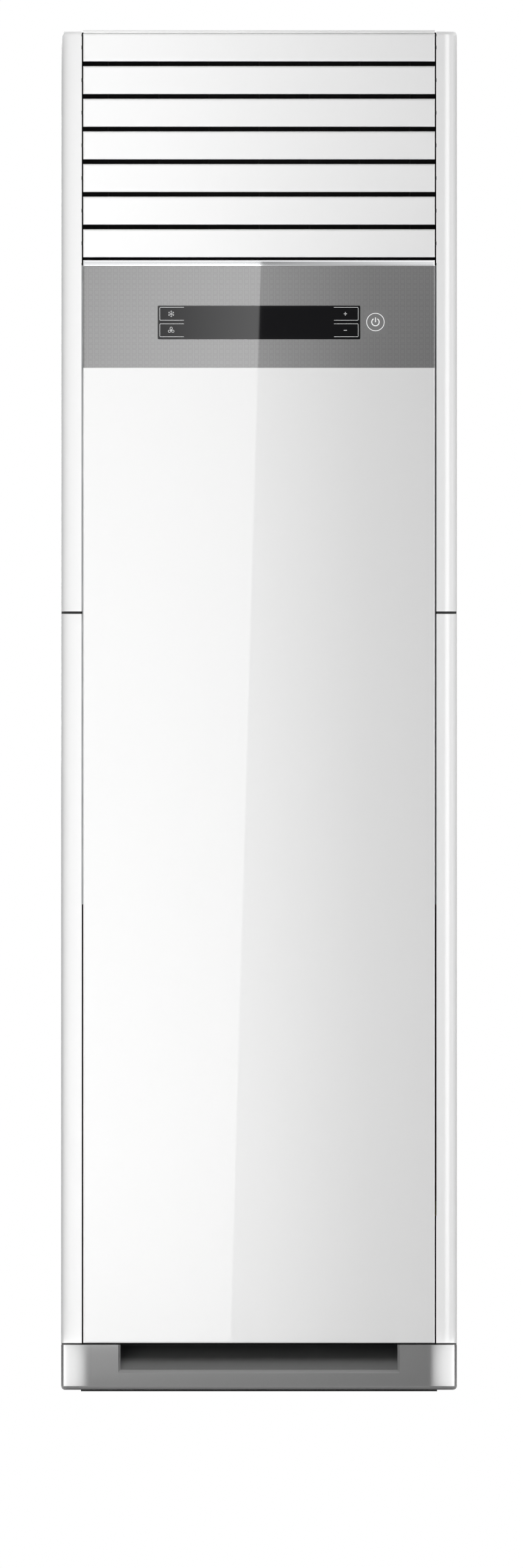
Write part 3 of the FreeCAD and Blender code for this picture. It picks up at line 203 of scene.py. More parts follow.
panel_white, panel_shader = moulded("panel white gloss", PANEL_WHITE, rough=0.35)
clear_coat(panel_shader)
panel_shader.inputs["Specular IOR Level"].default_value = 0.0
dress(panel_white, "front_panel")

# %% [markdown]
# ## Masks for painted shade
# Some pieces carry painted shade: the pins at the louvres' ends and the tongues in the seams sit in gaps
# where shade falls, and they are painted dull black. The faces could be given a second material, but the
# model's meshes stay as they are. A mask that reads the place of a point changes the colour and the
# roughness there.

# %% Masks
# Painted shade: the dull black that stands in for the shadow in the seams and round the louvres' pins.
GAP_SHADE_BLACK = (0.01, 0.01, 0.01)
GAP_SHADE_ROUGH = 0.9


def math_node(material, operation, first, second=None):
    node = add_node(material, "ShaderNodeMath", operation=operation)
    for socket, value in zip(node.inputs, (first, second)):
        if value is None:
            continue
        if isinstance(value, (int, float)):
            socket.default_value = value
        else:
            wire(material, value, socket)
    return node.outputs["Value"]


def axis_of(material, place, axis):
    axes = add_node(material, "ShaderNodeSeparateXYZ")
    wire(material, place, axes.inputs["Vector"])
    return axes.outputs[axis]


def masked(material, shader, socket_name, kind, mask, value):
    """Puts another value on one of the shader's wired sockets where the mask is 1."""
    socket = shader.inputs[socket_name]
    mixed = add_node(material, "ShaderNodeMix", data_type=kind)
    wire(material, mask, mixed.inputs["Factor"])
    wire(material, socket.links[0].from_socket, mixed.inputs["A"])
    mixed.inputs["B"].default_value = value
    wire(material, mixed.outputs["Result"], socket)


def paint_gap_shade(material, shader, mask):
    """Painted shade: dull black where the mask is 1."""
    masked(material, shader, "Base Color", "RGBA", mask, (*GAP_SHADE_BLACK, 1.0))
    masked(material, shader, "Roughness", "FLOAT", mask, GAP_SHADE_ROUGH)


print("black of painted shade in seams and round pins", GAP_SHADE_BLACK[0])

# %% [markdown]
# ## Louvres
# The louvres are white like the panel but have no clear layer, so their shine is softer. Their pins sit in
# the shade of the gaps at the ends and are painted dull black as painted shade. They turn, and the mask that
# paints shade on their pins reads only X, which stays the same as they turn.

# %% Louvres
LOUVRES = 7
LOUVRE_WHITE = (0.885, 0.885, 0.885)
FINE_GRAIN_HEIGHT = 0.02 * MM
PIN_FROM = 0.2 * MM
louvre_white, louvre_shader = moulded("louvre white", LOUVRE_WHITE, rough=0.32, grain=1500.0,
                                      grain_height=FINE_GRAIN_HEIGHT)
# Painted shade on the pins at both ends, standing in for the shadow in the gaps.
from_middle = math_node(louvre_white, "ABSOLUTE", axis_of(louvre_white, object_place(louvre_white), "X"))
pin_shade_mask = math_node(louvre_white, "GREATER_THAN", from_middle, PANEL_HIGH.x + PIN_FROM)
paint_gap_shade(louvre_white, louvre_shader, pin_shade_mask)
dress(louvre_white, "drive_crank", "louvre_link", *["louvre_%d" % n for n in range(1, LOUVRES + 1)])

# %% [markdown]
# ## Side panels and top cover
# These are satin white mouldings. The lower side panels have a tongue that closes the seam between them and
# the upper ones. Above the seam's lower edge the finish is painted dull black: painted shade that stands in
# for the shadow in the seam.

# %% Side panels and top cover
WHITE = (0.865, 0.865, 0.865)
SIDE_ROUGH = 0.2
COVER_ROUGH = 0.5
SIDE_GRAIN = 1200.0
SEAM_DROP = 0.1 * MM
SPLIT_SEAM = 3.3 * MM
SPLIT_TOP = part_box("upper_side_panel_left")[0].z


def cabinet_white(name, rough):
    return moulded(name, WHITE, rough, SIDE_GRAIN, FINE_GRAIN_HEIGHT)


def paint_seam_shade_above(material, shader, z):
    """Paints shade above a height: the tongue inside a seam turns dull black, standing in for the seam's
    shadow.
    """
    height = axis_of(material, object_place(material), "Z")
    paint_gap_shade(material, shader, math_node(material, "GREATER_THAN", height, z))


side_white, _ = cabinet_white("side panel white", SIDE_ROUGH)
dress(side_white, "upper_side_panel_left", "upper_side_panel_right")
top_white, _ = cabinet_white("top cover white", COVER_ROUGH)
dress(top_white, "top_cover")
lower_white, lower_shader = cabinet_white("lower side panel white", SIDE_ROUGH)
# Painted shade on the tongue in the seam between the upper and lower side panels.
paint_seam_shade_above(lower_white, lower_shader, SPLIT_TOP - SPLIT_SEAM + SEAM_DROP)
dress(lower_white, "lower_side_panel_left", "lower_side_panel_right")

# %% [markdown]
# ## Silver plinth
# The plinth is grey plastic with a silver, slightly metallic paint. The flakes in such paint lie at
# slightly different angles. Modelling them is out of the question, so a small Voronoi texture changes the
# tone and tilts the surface a little from cell to cell.

# %% Plinth
FLAKE_SCALE = 2600.0
FLAKE_TONE = 0.86
FLAKE_HEIGHT = 0.03 * MM
FLAKE_STRENGTH = 0.15
FLAKE_CLOUD_SCALE = 8.0
FLAKE_GLOSS_SPREAD = 0.08
PLINTH_GREY = (0.222, 0.222, 0.222)
BASE_SEAM = 2.4 * MM


def flake_paint(name, color, rough, metallic):
    material, shader = new_finish(name, color, rough, metallic)
    place = object_place(material)
    flakes = add_node(material, "ShaderNodeTexVoronoi", Scale=FLAKE_SCALE)
    wire(material, place, flakes.inputs["Vector"])
    tone = two_colors(material, flakes.outputs["Distance"], color, shade(color, FLAKE_TONE))
    wire(material, tone, shader.inputs["Base Color"])
    cloud = noise(material, FLAKE_CLOUD_SCALE, place)
    gloss = spread_value(material, cloud, rough * (1 - FLAKE_GLOSS_SPREAD), rough * (1 + FLAKE_GLOSS_SPREAD))
    wire(material, gloss, shader.inputs["Roughness"])
    add_bump(material, shader, flakes.outputs["Distance"], FLAKE_HEIGHT, FLAKE_STRENGTH)
    return material, shader


plinth_silver, plinth_shader = flake_paint("plinth silver", PLINTH_GREY, rough=0.2, metallic=0.35)
# Painted shade on the plinth's tongue in the seam under the panels.
paint_seam_shade_above(plinth_silver, plinth_shader, PANEL_LOW.z - BASE_SEAM + SEAM_DROP)
dress(plinth_silver, "base_plinth")

# %% [markdown]
# ## Trim strip
# The strip over the control band is bright plated metal. A fully metallic shader with a very low roughness
# shows the cards in front of it and has almost no tone of its own.

# %% Trim strip
TRIM_SILVER = (0.72, 0.73, 0.74)
trim_silver, _ = moulded("trim silver", TRIM_SILVER, rough=0.04, metallic=1.0)
dress(trim_silver, "trim_strip")

# %% [markdown]
# ## The squares on the control band
# Under the band's clear layer lies a grid of faint square outlines. They could be hundreds of thin meshes,
# but they are only printed. A ping-pong function folds each axis into the distance from the nearest grid
# line, the larger of the two distances is a square, and a narrow step of it is the outline. Round the power
# key the ground is plain.

# %% Squares
GRID_X = 8.2 * MM
GRID_Z = 7.1 * MM
GRID_SHIFT = 100 * GRID_X
SQUARE_HALF = 2.7 * MM
SQUARE_LINE = 0.45 * MM
SQUARE_CORE = SQUARE_LINE / 4
KEY_X = 153.0 * MM
KEY_Z = WINDOW_MID.z + 0.6 * MM
KEY_FIELD_X = 13.6 * MM
KEY_FIELD_Z = 15.4 * MM


def away_from(material, axis_value, middle):
    return math_node(material, "ABSOLUTE", math_node(material, "SUBTRACT", axis_value, middle))


def square_grid(material, place):
    """1 on the outlines of the squares and 0 elsewhere."""
    x = axis_of(material, place, "X")
    z = axis_of(material, place, "Z")
    fold_x = math_node(material, "PINGPONG", math_node(material, "ADD", x, GRID_SHIFT), GRID_X / 2)
    fold_z = math_node(material, "PINGPONG", math_node(material, "SUBTRACT", z, BAND_LOW.z), GRID_Z / 2)
    distance = math_node(material, "MAXIMUM", fold_x, fold_z)
    line = add_node(material, "ShaderNodeMapRange", interpolation_type="SMOOTHSTEP")
    line.inputs["From Min"].default_value = SQUARE_LINE
    line.inputs["From Max"].default_value = SQUARE_CORE
    wire(material, away_from(material, distance, SQUARE_HALF), line.inputs["Value"])
    beside = math_node(material, "GREATER_THAN", away_from(material, x, KEY_X), KEY_FIELD_X)
    above = math_node(material, "GREATER_THAN", away_from(material, z, KEY_Z), KEY_FIELD_Z)
    field = math_node(material, "MAXIMUM", beside, above)
    return math_node(material, "MULTIPLY", line.outputs["Result"], field)


print("squares across the band", int((PANEL_HIGH.x - PANEL_LOW.x) / GRID_X))

# %% [markdown]
# ## The control band
# The band is a grey, slightly metallic print behind a clear sheet. The squares are a little darker than the
# ground and stand up by a hair, so the light catches them. The same clear coat as on the panel lies over
# both.

# %% Control band
BAND_GREY = (0.175, 0.175, 0.175)
SQUARE_TONE = 0.82
SQUARE_HEIGHT = 0.06 * MM
SQUARE_STRENGTH = 0.35
band_grey, band_shader = new_finish("control band grey", BAND_GREY, rough=0.42, metallic=0.35, specular=0.3)
squares = square_grid(band_grey, object_place(band_grey))
wire(band_grey, two_colors(band_grey, squares, BAND_GREY, shade(BAND_GREY, SQUARE_TONE)),
     band_shader.inputs["Base Color"])
add_bump(band_grey, band_shader, squares, SQUARE_HEIGHT, SQUARE_STRENGTH)
clear_coat(band_shader)
dress(band_grey, "control_band")

# %% [markdown]
# ## The display window
# A sheet of black acrylic, polished. Almost all that it shows is reflection, so the colour is close to
# black and the surface is very smooth, with a trace of unevenness in its gloss.

# %% Display window
WINDOW_BLACK = (0.006, 0.006, 0.007)
window_black, _ = moulded("window black", WINDOW_BLACK, rough=0.03, specular=0.33)
dress(window_black, "display_window")

# %% [markdown]
# ## Black, grey and foam pieces inside
# These show only through the slots, behind opened louvres or from the back. They are plain mouldings, so
# the helper of the panel serves for all of them, and a table holds what differs.

# %% Plain inner pieces
VANES = 7
VANE_NODES = ["vane_%d" % n for n in range(1, VANES + 1)]
# name, colour, roughness, scale and height of the grain, nodes
PLAIN_PIECES = (
    ("duct black", (0.004, 0.004, 0.0042), 0.5, 1400.0, 0.03 * MM,
     ("outlet_frame", "vane_link", "terminal_block", *VANE_NODES)),
    ("rubber black", (0.02, 0.02, 0.021), 0.7, 1800.0, 0.05 * MM, ("foot_pads", "pipe_grommet")),
    ("blower grey", (0.28, 0.285, 0.29), 0.5, 1200.0, 0.04 * MM, ("fan_scroll", "bell_mouth", "fan_wheel")),
    ("pan foam", (0.78, 0.78, 0.77), 0.8, 500.0, 0.2 * MM, ("drain_pan",)),
)
for *finish_settings, plain_nodes in PLAIN_PIECES:
    plain_finish, _ = moulded(*finish_settings)
    dress(plain_finish, *plain_nodes)

# %% [markdown]
# ## Rear sheet with painted shade
# The rear panel is painted sheet. On the side that faces the air duct it is painted black: painted shade
# that stands in for the dark of the duct and keeps the slots dark. A mask on Y tells the two sides apart.

# %% Rear sheet
SHEET_GREY = (0.42, 0.425, 0.43)
SHEET_TONE = 0.96
SHEET_CLOUD_SCALE = 7.0
SHEET_GRAIN = 1300.0
SHEET_GRAIN_HEIGHT = 0.03 * MM
DUCT_SHADE_BLACK = (0.006, 0.006, 0.006)
DUCT_SHADE_DEPTH = 0.4 * MM
rear_sheet, rear_shader = new_finish("rear sheet", SHEET_GREY, rough=0.5)
rear_place = object_place(rear_sheet)
paint_cloud = noise(rear_sheet, SHEET_CLOUD_SCALE, rear_place)
wire(rear_sheet, two_colors(rear_sheet, paint_cloud, shade(SHEET_GREY, SHEET_TONE), SHEET_GREY),
     rear_shader.inputs["Base Color"])
sheet_low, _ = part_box("rear_panel")
# Painted shade: the side that faces the duct, seen through the slots, is painted black.
inside = math_node(rear_sheet, "LESS_THAN", axis_of(rear_sheet, rear_place, "Y"), sheet_low.y + DUCT_SHADE_DEPTH)
masked(rear_sheet, rear_shader, "Base Color", "RGBA", inside, (*DUCT_SHADE_BLACK, 1.0))
paint_grain = noise(rear_sheet, SHEET_GRAIN, rear_place)
add_bump(rear_sheet, rear_shader, paint_grain, SHEET_GRAIN_HEIGHT, GRAIN_STRENGTH)
dress(rear_sheet, "rear_panel")

# %% [markdown]
# ## Zinc sheet
# Brackets, shelf and box are galvanised sheet with its spangle: flat crystals, each with its own tone. The
# colour output of a Voronoi texture is one random colour for each cell, and its grey value serves as the
# tone.

# %% Zinc sheet
ZINC = (0.52, 0.53, 0.54)
SPANGLE_SCALE = 90.0
SPANGLE_TONE = 0.86
SPANGLE_ROUGH = (0.36, 0.5)
zinc_sheet, zinc_shader = new_finish("zinc sheet", ZINC, rough=0.42, metallic=0.7)
spangle = add_node(zinc_sheet, "ShaderNodeTexVoronoi", Scale=SPANGLE_SCALE)
wire(zinc_sheet, object_place(zinc_sheet), spangle.inputs["Vector"])
crystal_tone = add_node(zinc_sheet, "ShaderNodeRGBToBW")
wire(zinc_sheet, spangle.outputs["Color"], crystal_tone.inputs["Color"])
wire(zinc_sheet, two_colors(zinc_sheet, crystal_tone.outputs["Val"], shade(ZINC, SPANGLE_TONE), ZINC),
     zinc_shader.inputs["Base Color"])
wire(zinc_sheet, spread_value(zinc_sheet, crystal_tone.outputs["Val"], *SPANGLE_ROUGH),
     zinc_shader.inputs["Roughness"])
dress(zinc_sheet, "cross_rail", "duct_front_plate", "shelf", "motor_bracket", "coil_end_plates",
      "control_box", "control_box_cover")

# %% [markdown]
# ## Pieces with fine lines
# Brushed steel, drawn tube, the coil's fins, the filters' weave and the tracks on a board all show fine
# parallel lines. A wave texture gives them, and the same wave as a bump gives them depth. Only direction,
# scale and height differ, so one helper and a table are enough.

# %% Lined finishes
LINE_TONE = 0.7
LINE_WANDER = 0.4
LINE_STRENGTH = 0.6


def striped_finish(name, color, rough, metallic, direction, scale, height):
    """Fine parallel lines in one direction."""
    material, shader = new_finish(name, color, rough, metallic)
    lines = add_node(material, "ShaderNodeTexWave", bands_direction=direction, Scale=scale,
                     Distortion=LINE_WANDER)
    wire(material, object_place(material), lines.inputs["Vector"])
    tone = two_colors(material, lines.outputs["Fac"], shade(color, LINE_TONE), color)
    wire(material, tone, shader.inputs["Base Color"])
    add_bump(material, shader, lines.outputs["Fac"], height, LINE_STRENGTH)
    return material


# name, colour, roughness, metallic, direction, scale, height of the lines, nodes
LINED_PIECES = (
    ("brushed steel", (0.58, 0.58, 0.59), 0.32, 1.0, "Z", 700.0, 0.01 * MM,
     ("wall_bracket", "cabinet_screws", "louvre_motor", "vane_motor", "fan_motor", "motor_shaft")),
    ("coil fins", (0.72, 0.74, 0.76), 0.35, 0.9, "X", 190.0, 0.4 * MM, ("evaporator_coil",)),
    ("filter mesh", (0.16, 0.165, 0.17), 0.6, 0.0, "DIAGONAL", 260.0, 0.2 * MM,
     ("filter_left", "filter_right")),
    ("copper tube", (0.72, 0.38, 0.25), 0.28, 1.0, "Z", 160.0, 0.02 * MM,
     ("coil_bends", "gas_pipe", "liquid_pipe")),
    ("brass nut", (0.74, 0.56, 0.26), 0.3, 1.0, "Z", 900.0, 0.02 * MM, ("flare_nuts",)),
    ("board green", (0.03, 0.14, 0.07), 0.4, 0.0, "X", 300.0, 0.04 * MM, ("control_board", "display_board")),
)
for *finish_settings, lined_nodes in LINED_PIECES:
    dress(striped_finish(*finish_settings), *lined_nodes)

# %% [markdown]
# ## Strokes of ink
# The key frames and signs are ink, printed on the window and the band. Curves with a bevel could draw them,
# but a flat ribbon is closer to ink. A stroke is a path in the plane of the front face, given a width and a
# thickness. It starts just inside the face and stands a fiftieth of a millimetre proud of it.

# %% Stroke
INK_SUNK = 0.05 * MM
INK_LIFT = 0.02 * MM
SHARPEST_TURN = 0.5
RING_ORDER = (0, 2, 3, 1)


def stroke_ring(mesh, before, here, after, width):
    """Four corners of a ribbon at one point of its path, wider where the path turns."""
    along = Vector((after[0] - before[0], after[1] - before[1])).normalized()
    turn = 1.0
    if before != here and after != here:
        first = Vector((here[0] - before[0], here[1] - before[1])).normalized()
        turn = max(first.dot(along), SHARPEST_TURN)
    side = Vector((-along.y, along.x)) * (width / 2 / turn)
    edges = (Vector(here) + side, Vector(here) - side)
    depths = (FACE_Y - INK_LIFT, FACE_Y + INK_SUNK)
    return [mesh.verts.new((edge.x, depth, edge.y)) for edge in edges for depth in depths]


def stroke_mesh(mesh, path, width, closed):
    """Adds a flat ribbon of ink along a path of (x, z) points."""
    count = len(path)
    rings = []
    for index, here in enumerate(path):
        before = path[index - 1] if closed or index else here
        after = path[(index + 1) % count] if closed or index < count - 1 else here
        rings.append(stroke_ring(mesh, before, here, after, width))
    for index in range(count if closed else count - 1):
        a, b = rings[index], rings[(index + 1) % count]
        for i, j in zip(RING_ORDER, RING_ORDER[1:] + RING_ORDER[:1]):
            mesh.faces.new((a[i], a[j], b[j], b[i]))
    if not closed:
        mesh.faces.new([rings[0][i] for i in RING_ORDER])
        mesh.faces.new([rings[-1][i] for i in reversed(RING_ORDER)])


print("ink stands proud by", INK_LIFT, "m")

# %% [markdown]
# ## Prints that move with the panel
# A finished mesh becomes a piece that rides on one of the model's bodies. The prints ride on the front
# panel, so they tilt out with it. Two inks are enough: light grey for the window and white for the power
# key.

# %% Pieces and inks
INK_ROUGH = 0.45


def keep_piece(name, mesh, material, body):
    """Turns a finished bmesh into a piece that rides on one of the model's bodies."""
    bmesh.ops.recalc_face_normals(mesh, faces=mesh.faces)
    data = bpy.data.meshes.new(name)
    mesh.to_mesh(data)
    mesh.free()
    piece = bpy.data.objects.new(name, data)
    bpy.context.scene.collection.objects.link(piece)
    data.materials.append(material)
    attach(piece, body)
    print(name, len(data.polygons), "faces")


def print_piece(name, strokes, material):
    """Makes one print from (path, width, closed) strokes."""
    mesh = bmesh.new()
    for path, width, closed in strokes:
        stroke_mesh(mesh, path, width, closed)
    keep_piece(name, mesh, material, "front_panel")


ink_grey, _ = moulded("ink light grey", (0.62, 0.625, 0.63), INK_ROUGH)
ink_white, _ = moulded("ink white", (0.9, 0.9, 0.9), INK_ROUGH)
print(ink_grey.name, "and", ink_white.name)

# %% [markdown]
# ## Key frames
# The window has two keys at each end, each marked by a bracket that is open towards the middle. Its two
# outer corners are rounded: a quarter circle of points there is simpler than a bevel on a finished mesh.

# %% Key frames
FRAME_LINE = 0.65 * MM
FRAME_R = 1.0 * MM
FRAME_OUT = 130.3 * MM
FRAME_IN = 98.6 * MM
FRAME_TALL = 17.0 * MM
FRAME_STEP = 10.8 * MM
FRAME_RAISE = 0.6 * MM
CORNER_STEPS = 5
UPPER_KEY = WINDOW_MID.z + FRAME_STEP + FRAME_RAISE
LOWER_KEY = WINDOW_MID.z - FRAME_STEP + FRAME_RAISE


def point_round(x, z, radius, turn):
    return (x + radius * math.cos(turn), z + radius * math.sin(turn))


def arc_path(x, z, radius, start_deg, end_deg, steps):
    span = end_deg - start_deg
    turns = [math.radians(start_deg + span * step / steps) for step in range(steps + 1)]
    return [point_round(x, z, radius, turn) for turn in turns]


def bracket(side, z):
    """Key frame open towards the window's middle, with two rounded corners."""
    high, low = z + FRAME_TALL / 2, z - FRAME_TALL / 2
    corner = FRAME_OUT - FRAME_R
    path = [(FRAME_IN, high)] + arc_path(corner, high - FRAME_R, FRAME_R, 90.0, 0.0, CORNER_STEPS)
    path += arc_path(corner, low + FRAME_R, FRAME_R, 0.0, -90.0, CORNER_STEPS) + [(FRAME_IN, low)]
    return [(side * x, z_at) for x, z_at in path], FRAME_LINE, False


print_piece("key_frames", [bracket(side, z) for side in (-1, 1) for z in (UPPER_KEY, LOWER_KEY)], ink_grey)

# %% [markdown]
# ## Plus and minus
# The right keys set the temperature and carry plus and minus. Three straight strokes make both signs, and
# one piece holds them all.

# %% Plus and minus
SIGN_X = 113.5 * MM
SIGN_ARM = 2.2 * MM
SIGN_LINE = 0.9 * MM


def level_stroke(z):
    return [(SIGN_X - SIGN_ARM, z), (SIGN_X + SIGN_ARM, z)], SIGN_LINE, False


upright = ([(SIGN_X, UPPER_KEY - SIGN_ARM), (SIGN_X, UPPER_KEY + SIGN_ARM)], SIGN_LINE, False)
print_piece("plus_and_minus", [level_stroke(UPPER_KEY), upright, level_stroke(LOWER_KEY)], ink_grey)

# %% [markdown]
# ## Mode and speed pictures
# The left keys carry plain pictures: a snow crystal for the mode and a fan for the speed. Both repeat one
# arm or blade round a middle, so a loop over the turns draws them.

# %% Key pictures
ICON_X = 115.4 * MM
ICON_R = 4.2 * MM
ICON_LINE = 0.6 * MM
ARMS = 6
FIRST_ARM = 30.0
TWIG_FROM = 0.6 * ICON_R
TWIG_LONG = 0.35 * ICON_R
TWIG_LEAN = 45.0
BLADES = 3
FIRST_BLADE = 90.0
HUB_R = 0.16 * ICON_R
HUB_STEPS = 12
BLADE_OUT = 0.62 * ICON_R
BLADE_R = 0.38 * ICON_R
BLADE_STEPS = 18


def ring_path(x, z, radius, steps):
    return arc_path(x, z, radius, 0.0, 360.0, steps)[:-1]


def crystal(x, z):
    """Arms of a snow crystal, each with a pair of short twigs."""
    strokes = []
    for arm in range(ARMS):
        turn = math.radians(360.0 / ARMS * arm + FIRST_ARM)
        strokes.append(([(x, z), point_round(x, z, ICON_R, turn)], ICON_LINE, False))
        fork = point_round(x, z, TWIG_FROM, turn)
        for lean in (-TWIG_LEAN, TWIG_LEAN):
            tip = point_round(*fork, TWIG_LONG, turn + math.radians(lean))
            strokes.append(([fork, tip], ICON_LINE, False))
    return strokes


def fan_picture(x, z):
    """Looped blades round a small hub."""
    strokes = [(ring_path(x, z, HUB_R, HUB_STEPS), ICON_LINE, True)]
    for blade in range(BLADES):
        middle = point_round(x, z, BLADE_OUT, math.radians(360.0 / BLADES * blade + FIRST_BLADE))
        strokes.append((ring_path(*middle, BLADE_R, BLADE_STEPS), ICON_LINE, True))
    return strokes


print_piece("mode_picture", crystal(-ICON_X, UPPER_KEY), ink_grey)
print_piece("speed_picture", fan_picture(-ICON_X, LOWER_KEY), ink_grey)

# %% [markdown]
# ## The power key
# A white ring with the standby sign, printed on the band beside the window. It is a touch key, so nothing
# moves. The sign is an arc that is open at the top and a short stem in the opening.

# %% Power key
RING_R = 11.5 * MM
RING_LINE = 1.0 * MM
RING_STEPS = 72
STANDBY_R = 4.9 * MM
STANDBY_LINE = 1.4 * MM
STANDBY_ARC = (120.0, 420.0)
STANDBY_STEPS = 40
STEM_LOW = KEY_Z - 0.05 * STANDBY_R
STEM_HIGH = KEY_Z + 1.25 * STANDBY_R
ring = (ring_path(KEY_X, KEY_Z, RING_R, RING_STEPS), RING_LINE, True)
standby_arc = (arc_path(KEY_X, KEY_Z, STANDBY_R, *STANDBY_ARC, STANDBY_STEPS), STANDBY_LINE, False)
stem = ([(KEY_X, STEM_LOW), (KEY_X, STEM_HIGH)], STANDBY_LINE, False)
print_piece("power_ring", [ring, standby_arc, stem], ink_white)

# %% [markdown]
# ## Painted shade in the seams
# Two seams run round the cabinet: one over the plinth and one between the upper and the lower side panels.
# A dull black strip fills them almost to the surface: painted shade that stands in for the shadow in the
# seams. It follows the cabinet's rounded plan, so a path along that plan is given a depth and a height. A
# swept curve would do too, but rings of points give the exact section.

# %% Painted seam shade
FRONT_R = 40.0 * MM
REAR_R = 8.0 * MM
STRIP_FROM_DEG = 20.0
ARC_STEPS = 12
SEAM_SHADE_INSET = 0.4 * MM
SEAM_SHADE_DEPTH = 4.0 * MM
SEAM_SHADE_PLAY = 0.05 * MM


def plan_path(inset):
    """The cabinet's plan on the right, from the strip beside the front panel to the rear corner."""
    low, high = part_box("base_plinth")
    arc = arc_path(high.x - FRONT_R, low.y + FRONT_R, FRONT_R - inset, STRIP_FROM_DEG - 90.0, 0.0, ARC_STEPS)
    return arc + [(high.x - inset, high.y - REAR_R)]


def tube_of_rings(mesh, rings):
    """Joins equal rings of points into a closed tube."""
    rings = [[mesh.verts.new(point) for point in ring] for ring in rings]
    count = len(rings[0])
    for near_ring, far_ring in zip(rings, rings[1:]):
        for i in range(count):
            j = (i + 1) % count
            mesh.faces.new((near_ring[i], near_ring[j], far_ring[j], far_ring[i]))
    mesh.faces.new(rings[0])
    mesh.faces.new(reversed(rings[-1]))


def seam_shade_strip(name, low, high):
    """Painted shade: a dull black strip between two heights, on both sides of the cabinet."""
    mesh = bmesh.new()
    paths = list(zip(plan_path(SEAM_SHADE_INSET), plan_path(SEAM_SHADE_INSET + SEAM_SHADE_DEPTH)))
    for side in (-1, 1):
        tube_of_rings(mesh, [[(side * outer[0], outer[1], low), (side * outer[0], outer[1], high),
                              (side * inner[0], inner[1], high), (side * inner[0], inner[1], low)]
                             for outer, inner in paths])
    keep_piece(name, mesh, seam_shade_black, "cabinet")


# Painted shade: the strips are dull black to stand in for the shadow in the seams.
seam_shade_black, _ = moulded("seam shade black", GAP_SHADE_BLACK, GAP_SHADE_ROUGH, grain=900.0, grain_height=0.1 * MM)
seam_shade_strip("split_seam_shade", SPLIT_TOP - SPLIT_SEAM + SEAM_SHADE_PLAY, SPLIT_TOP - SEAM_SHADE_PLAY)
seam_shade_strip("plinth_seam_shade", PANEL_LOW.z - BASE_SEAM + SEAM_SHADE_PLAY, PANEL_LOW.z - SEAM_SHADE_PLAY)

# %% [markdown]
# ## Closing strip
# A thin white strip under the top cover closes the gap above the highest louvre. A plain block would show a
# hard edge there. So its section has a rounded nose, and the section is drawn out along X with the same
# helper as the foam.

# %% Closing strip
LIP_TALL = 0.9 * MM
LIP_DEPTH = 8.0 * MM
LIP_INSET = 0.5 * MM
NOSE_STEPS = 6
lip_low = COVER_LOW.z - LIP_TALL
lip_front = COVER_LOW.y + LIP_INSET
lip_back = lip_front + LIP_DEPTH
nose = [(lip_front + LIP_TALL - y, lip_low + z)
        for y, z in arc_path(0.0, LIP_TALL, LIP_TALL, -90.0, 0.0, NOSE_STEPS)]
section = nose + [(lip_back, COVER_LOW.z), (lip_back, lip_low)]
lip_ends = (COVER_LOW.x + LIP_INSET, COVER_HIGH.x - LIP_INSET)
lip_mesh = bmesh.new()
tube_of_rings(lip_mesh, [[(x, y, z) for y, z in section] for x in lip_ends])
keep_piece("closing_strip", lip_mesh, top_white, "cabinet")

# %% [markdown]
# ## Studio floor
# The photograph is a square front view on white. A pale floor carries the object and its shadow. A floor
# lit by the lamps alone would end in a grey line, so away from the object it turns into plain white for the
# rays that show a background.

# %% Floor
FLOOR_WHITE = (0.88, 0.88, 0.88)
FADE_FROM = 0.45
FADE_TO = 1.3
FLOOR_HALF = 6.0


def stage_plane(name, corners, material):
    data = bpy.data.meshes.new(name)
    data.from_pydata([tuple(corner) for corner in corners], [], [tuple(range(len(corners)))])
    plane = bpy.data.objects.new(name, data)
    bpy.context.scene.collection.objects.link(plane)
    data.materials.append(material)
    return plane


def seen_rays(tree):
    """1 for the rays that show a background: from the camera, in gloss and through glass."""
    rays = tree.nodes.new("ShaderNodeLightPath")
    total = rays.outputs["Is Camera Ray"]
    for name in ("Is Glossy Ray", "Is Transmission Ray"):
        larger = tree.nodes.new("ShaderNodeMath")
        larger.operation = "MAXIMUM"
        tree.links.new(total, larger.inputs[0])
        tree.links.new(rays.outputs[name], larger.inputs[1])
        total = larger.outputs["Value"]
    return total


def fading_floor():
    """Pale floor that keeps the shadow near the object and turns white farther away."""
    material, shader = moulded("studio floor", FLOOR_WHITE, rough=0.7)
    tree = material.node_tree
    white = add_node(material, "ShaderNodeEmission", Strength=1.0)
    reach = add_node(material, "ShaderNodeVectorMath", operation="LENGTH")
    wire(material, object_place(material), reach.inputs[0])
    fade = add_node(material, "ShaderNodeMapRange", interpolation_type="SMOOTHSTEP")
    fade.inputs["From Min"].default_value = FADE_FROM
    fade.inputs["From Max"].default_value = FADE_TO
    wire(material, reach.outputs["Value"], fade.inputs["Value"])
    both = add_node(material, "ShaderNodeMixShader")
    white_share = math_node(material, "MULTIPLY", fade.outputs["Result"], seen_rays(tree))
    wire(material, white_share, both.inputs["Fac"])
    wire(material, shader.outputs["BSDF"], both.inputs[1])
    wire(material, white.outputs["Emission"], both.inputs[2])
    wire(material, both.outputs["Shader"], tree.nodes["Material Output"].inputs["Surface"])
    return material


floor_corners = [(x * FLOOR_HALF, y * FLOOR_HALF, 0) for x, y in ((-1, -1), (1, -1), (1, 1), (-1, 1))]
stage_plane("studio_floor", floor_corners, fading_floor())
print("floor turns white from", FADE_FROM, "to", FADE_TO, "m")

# %% [markdown]
# ## World
# The world is white where the camera or a reflection sees it, and much weaker as a light. A white world at
# full strength would light the object from all sides and leave it flat.

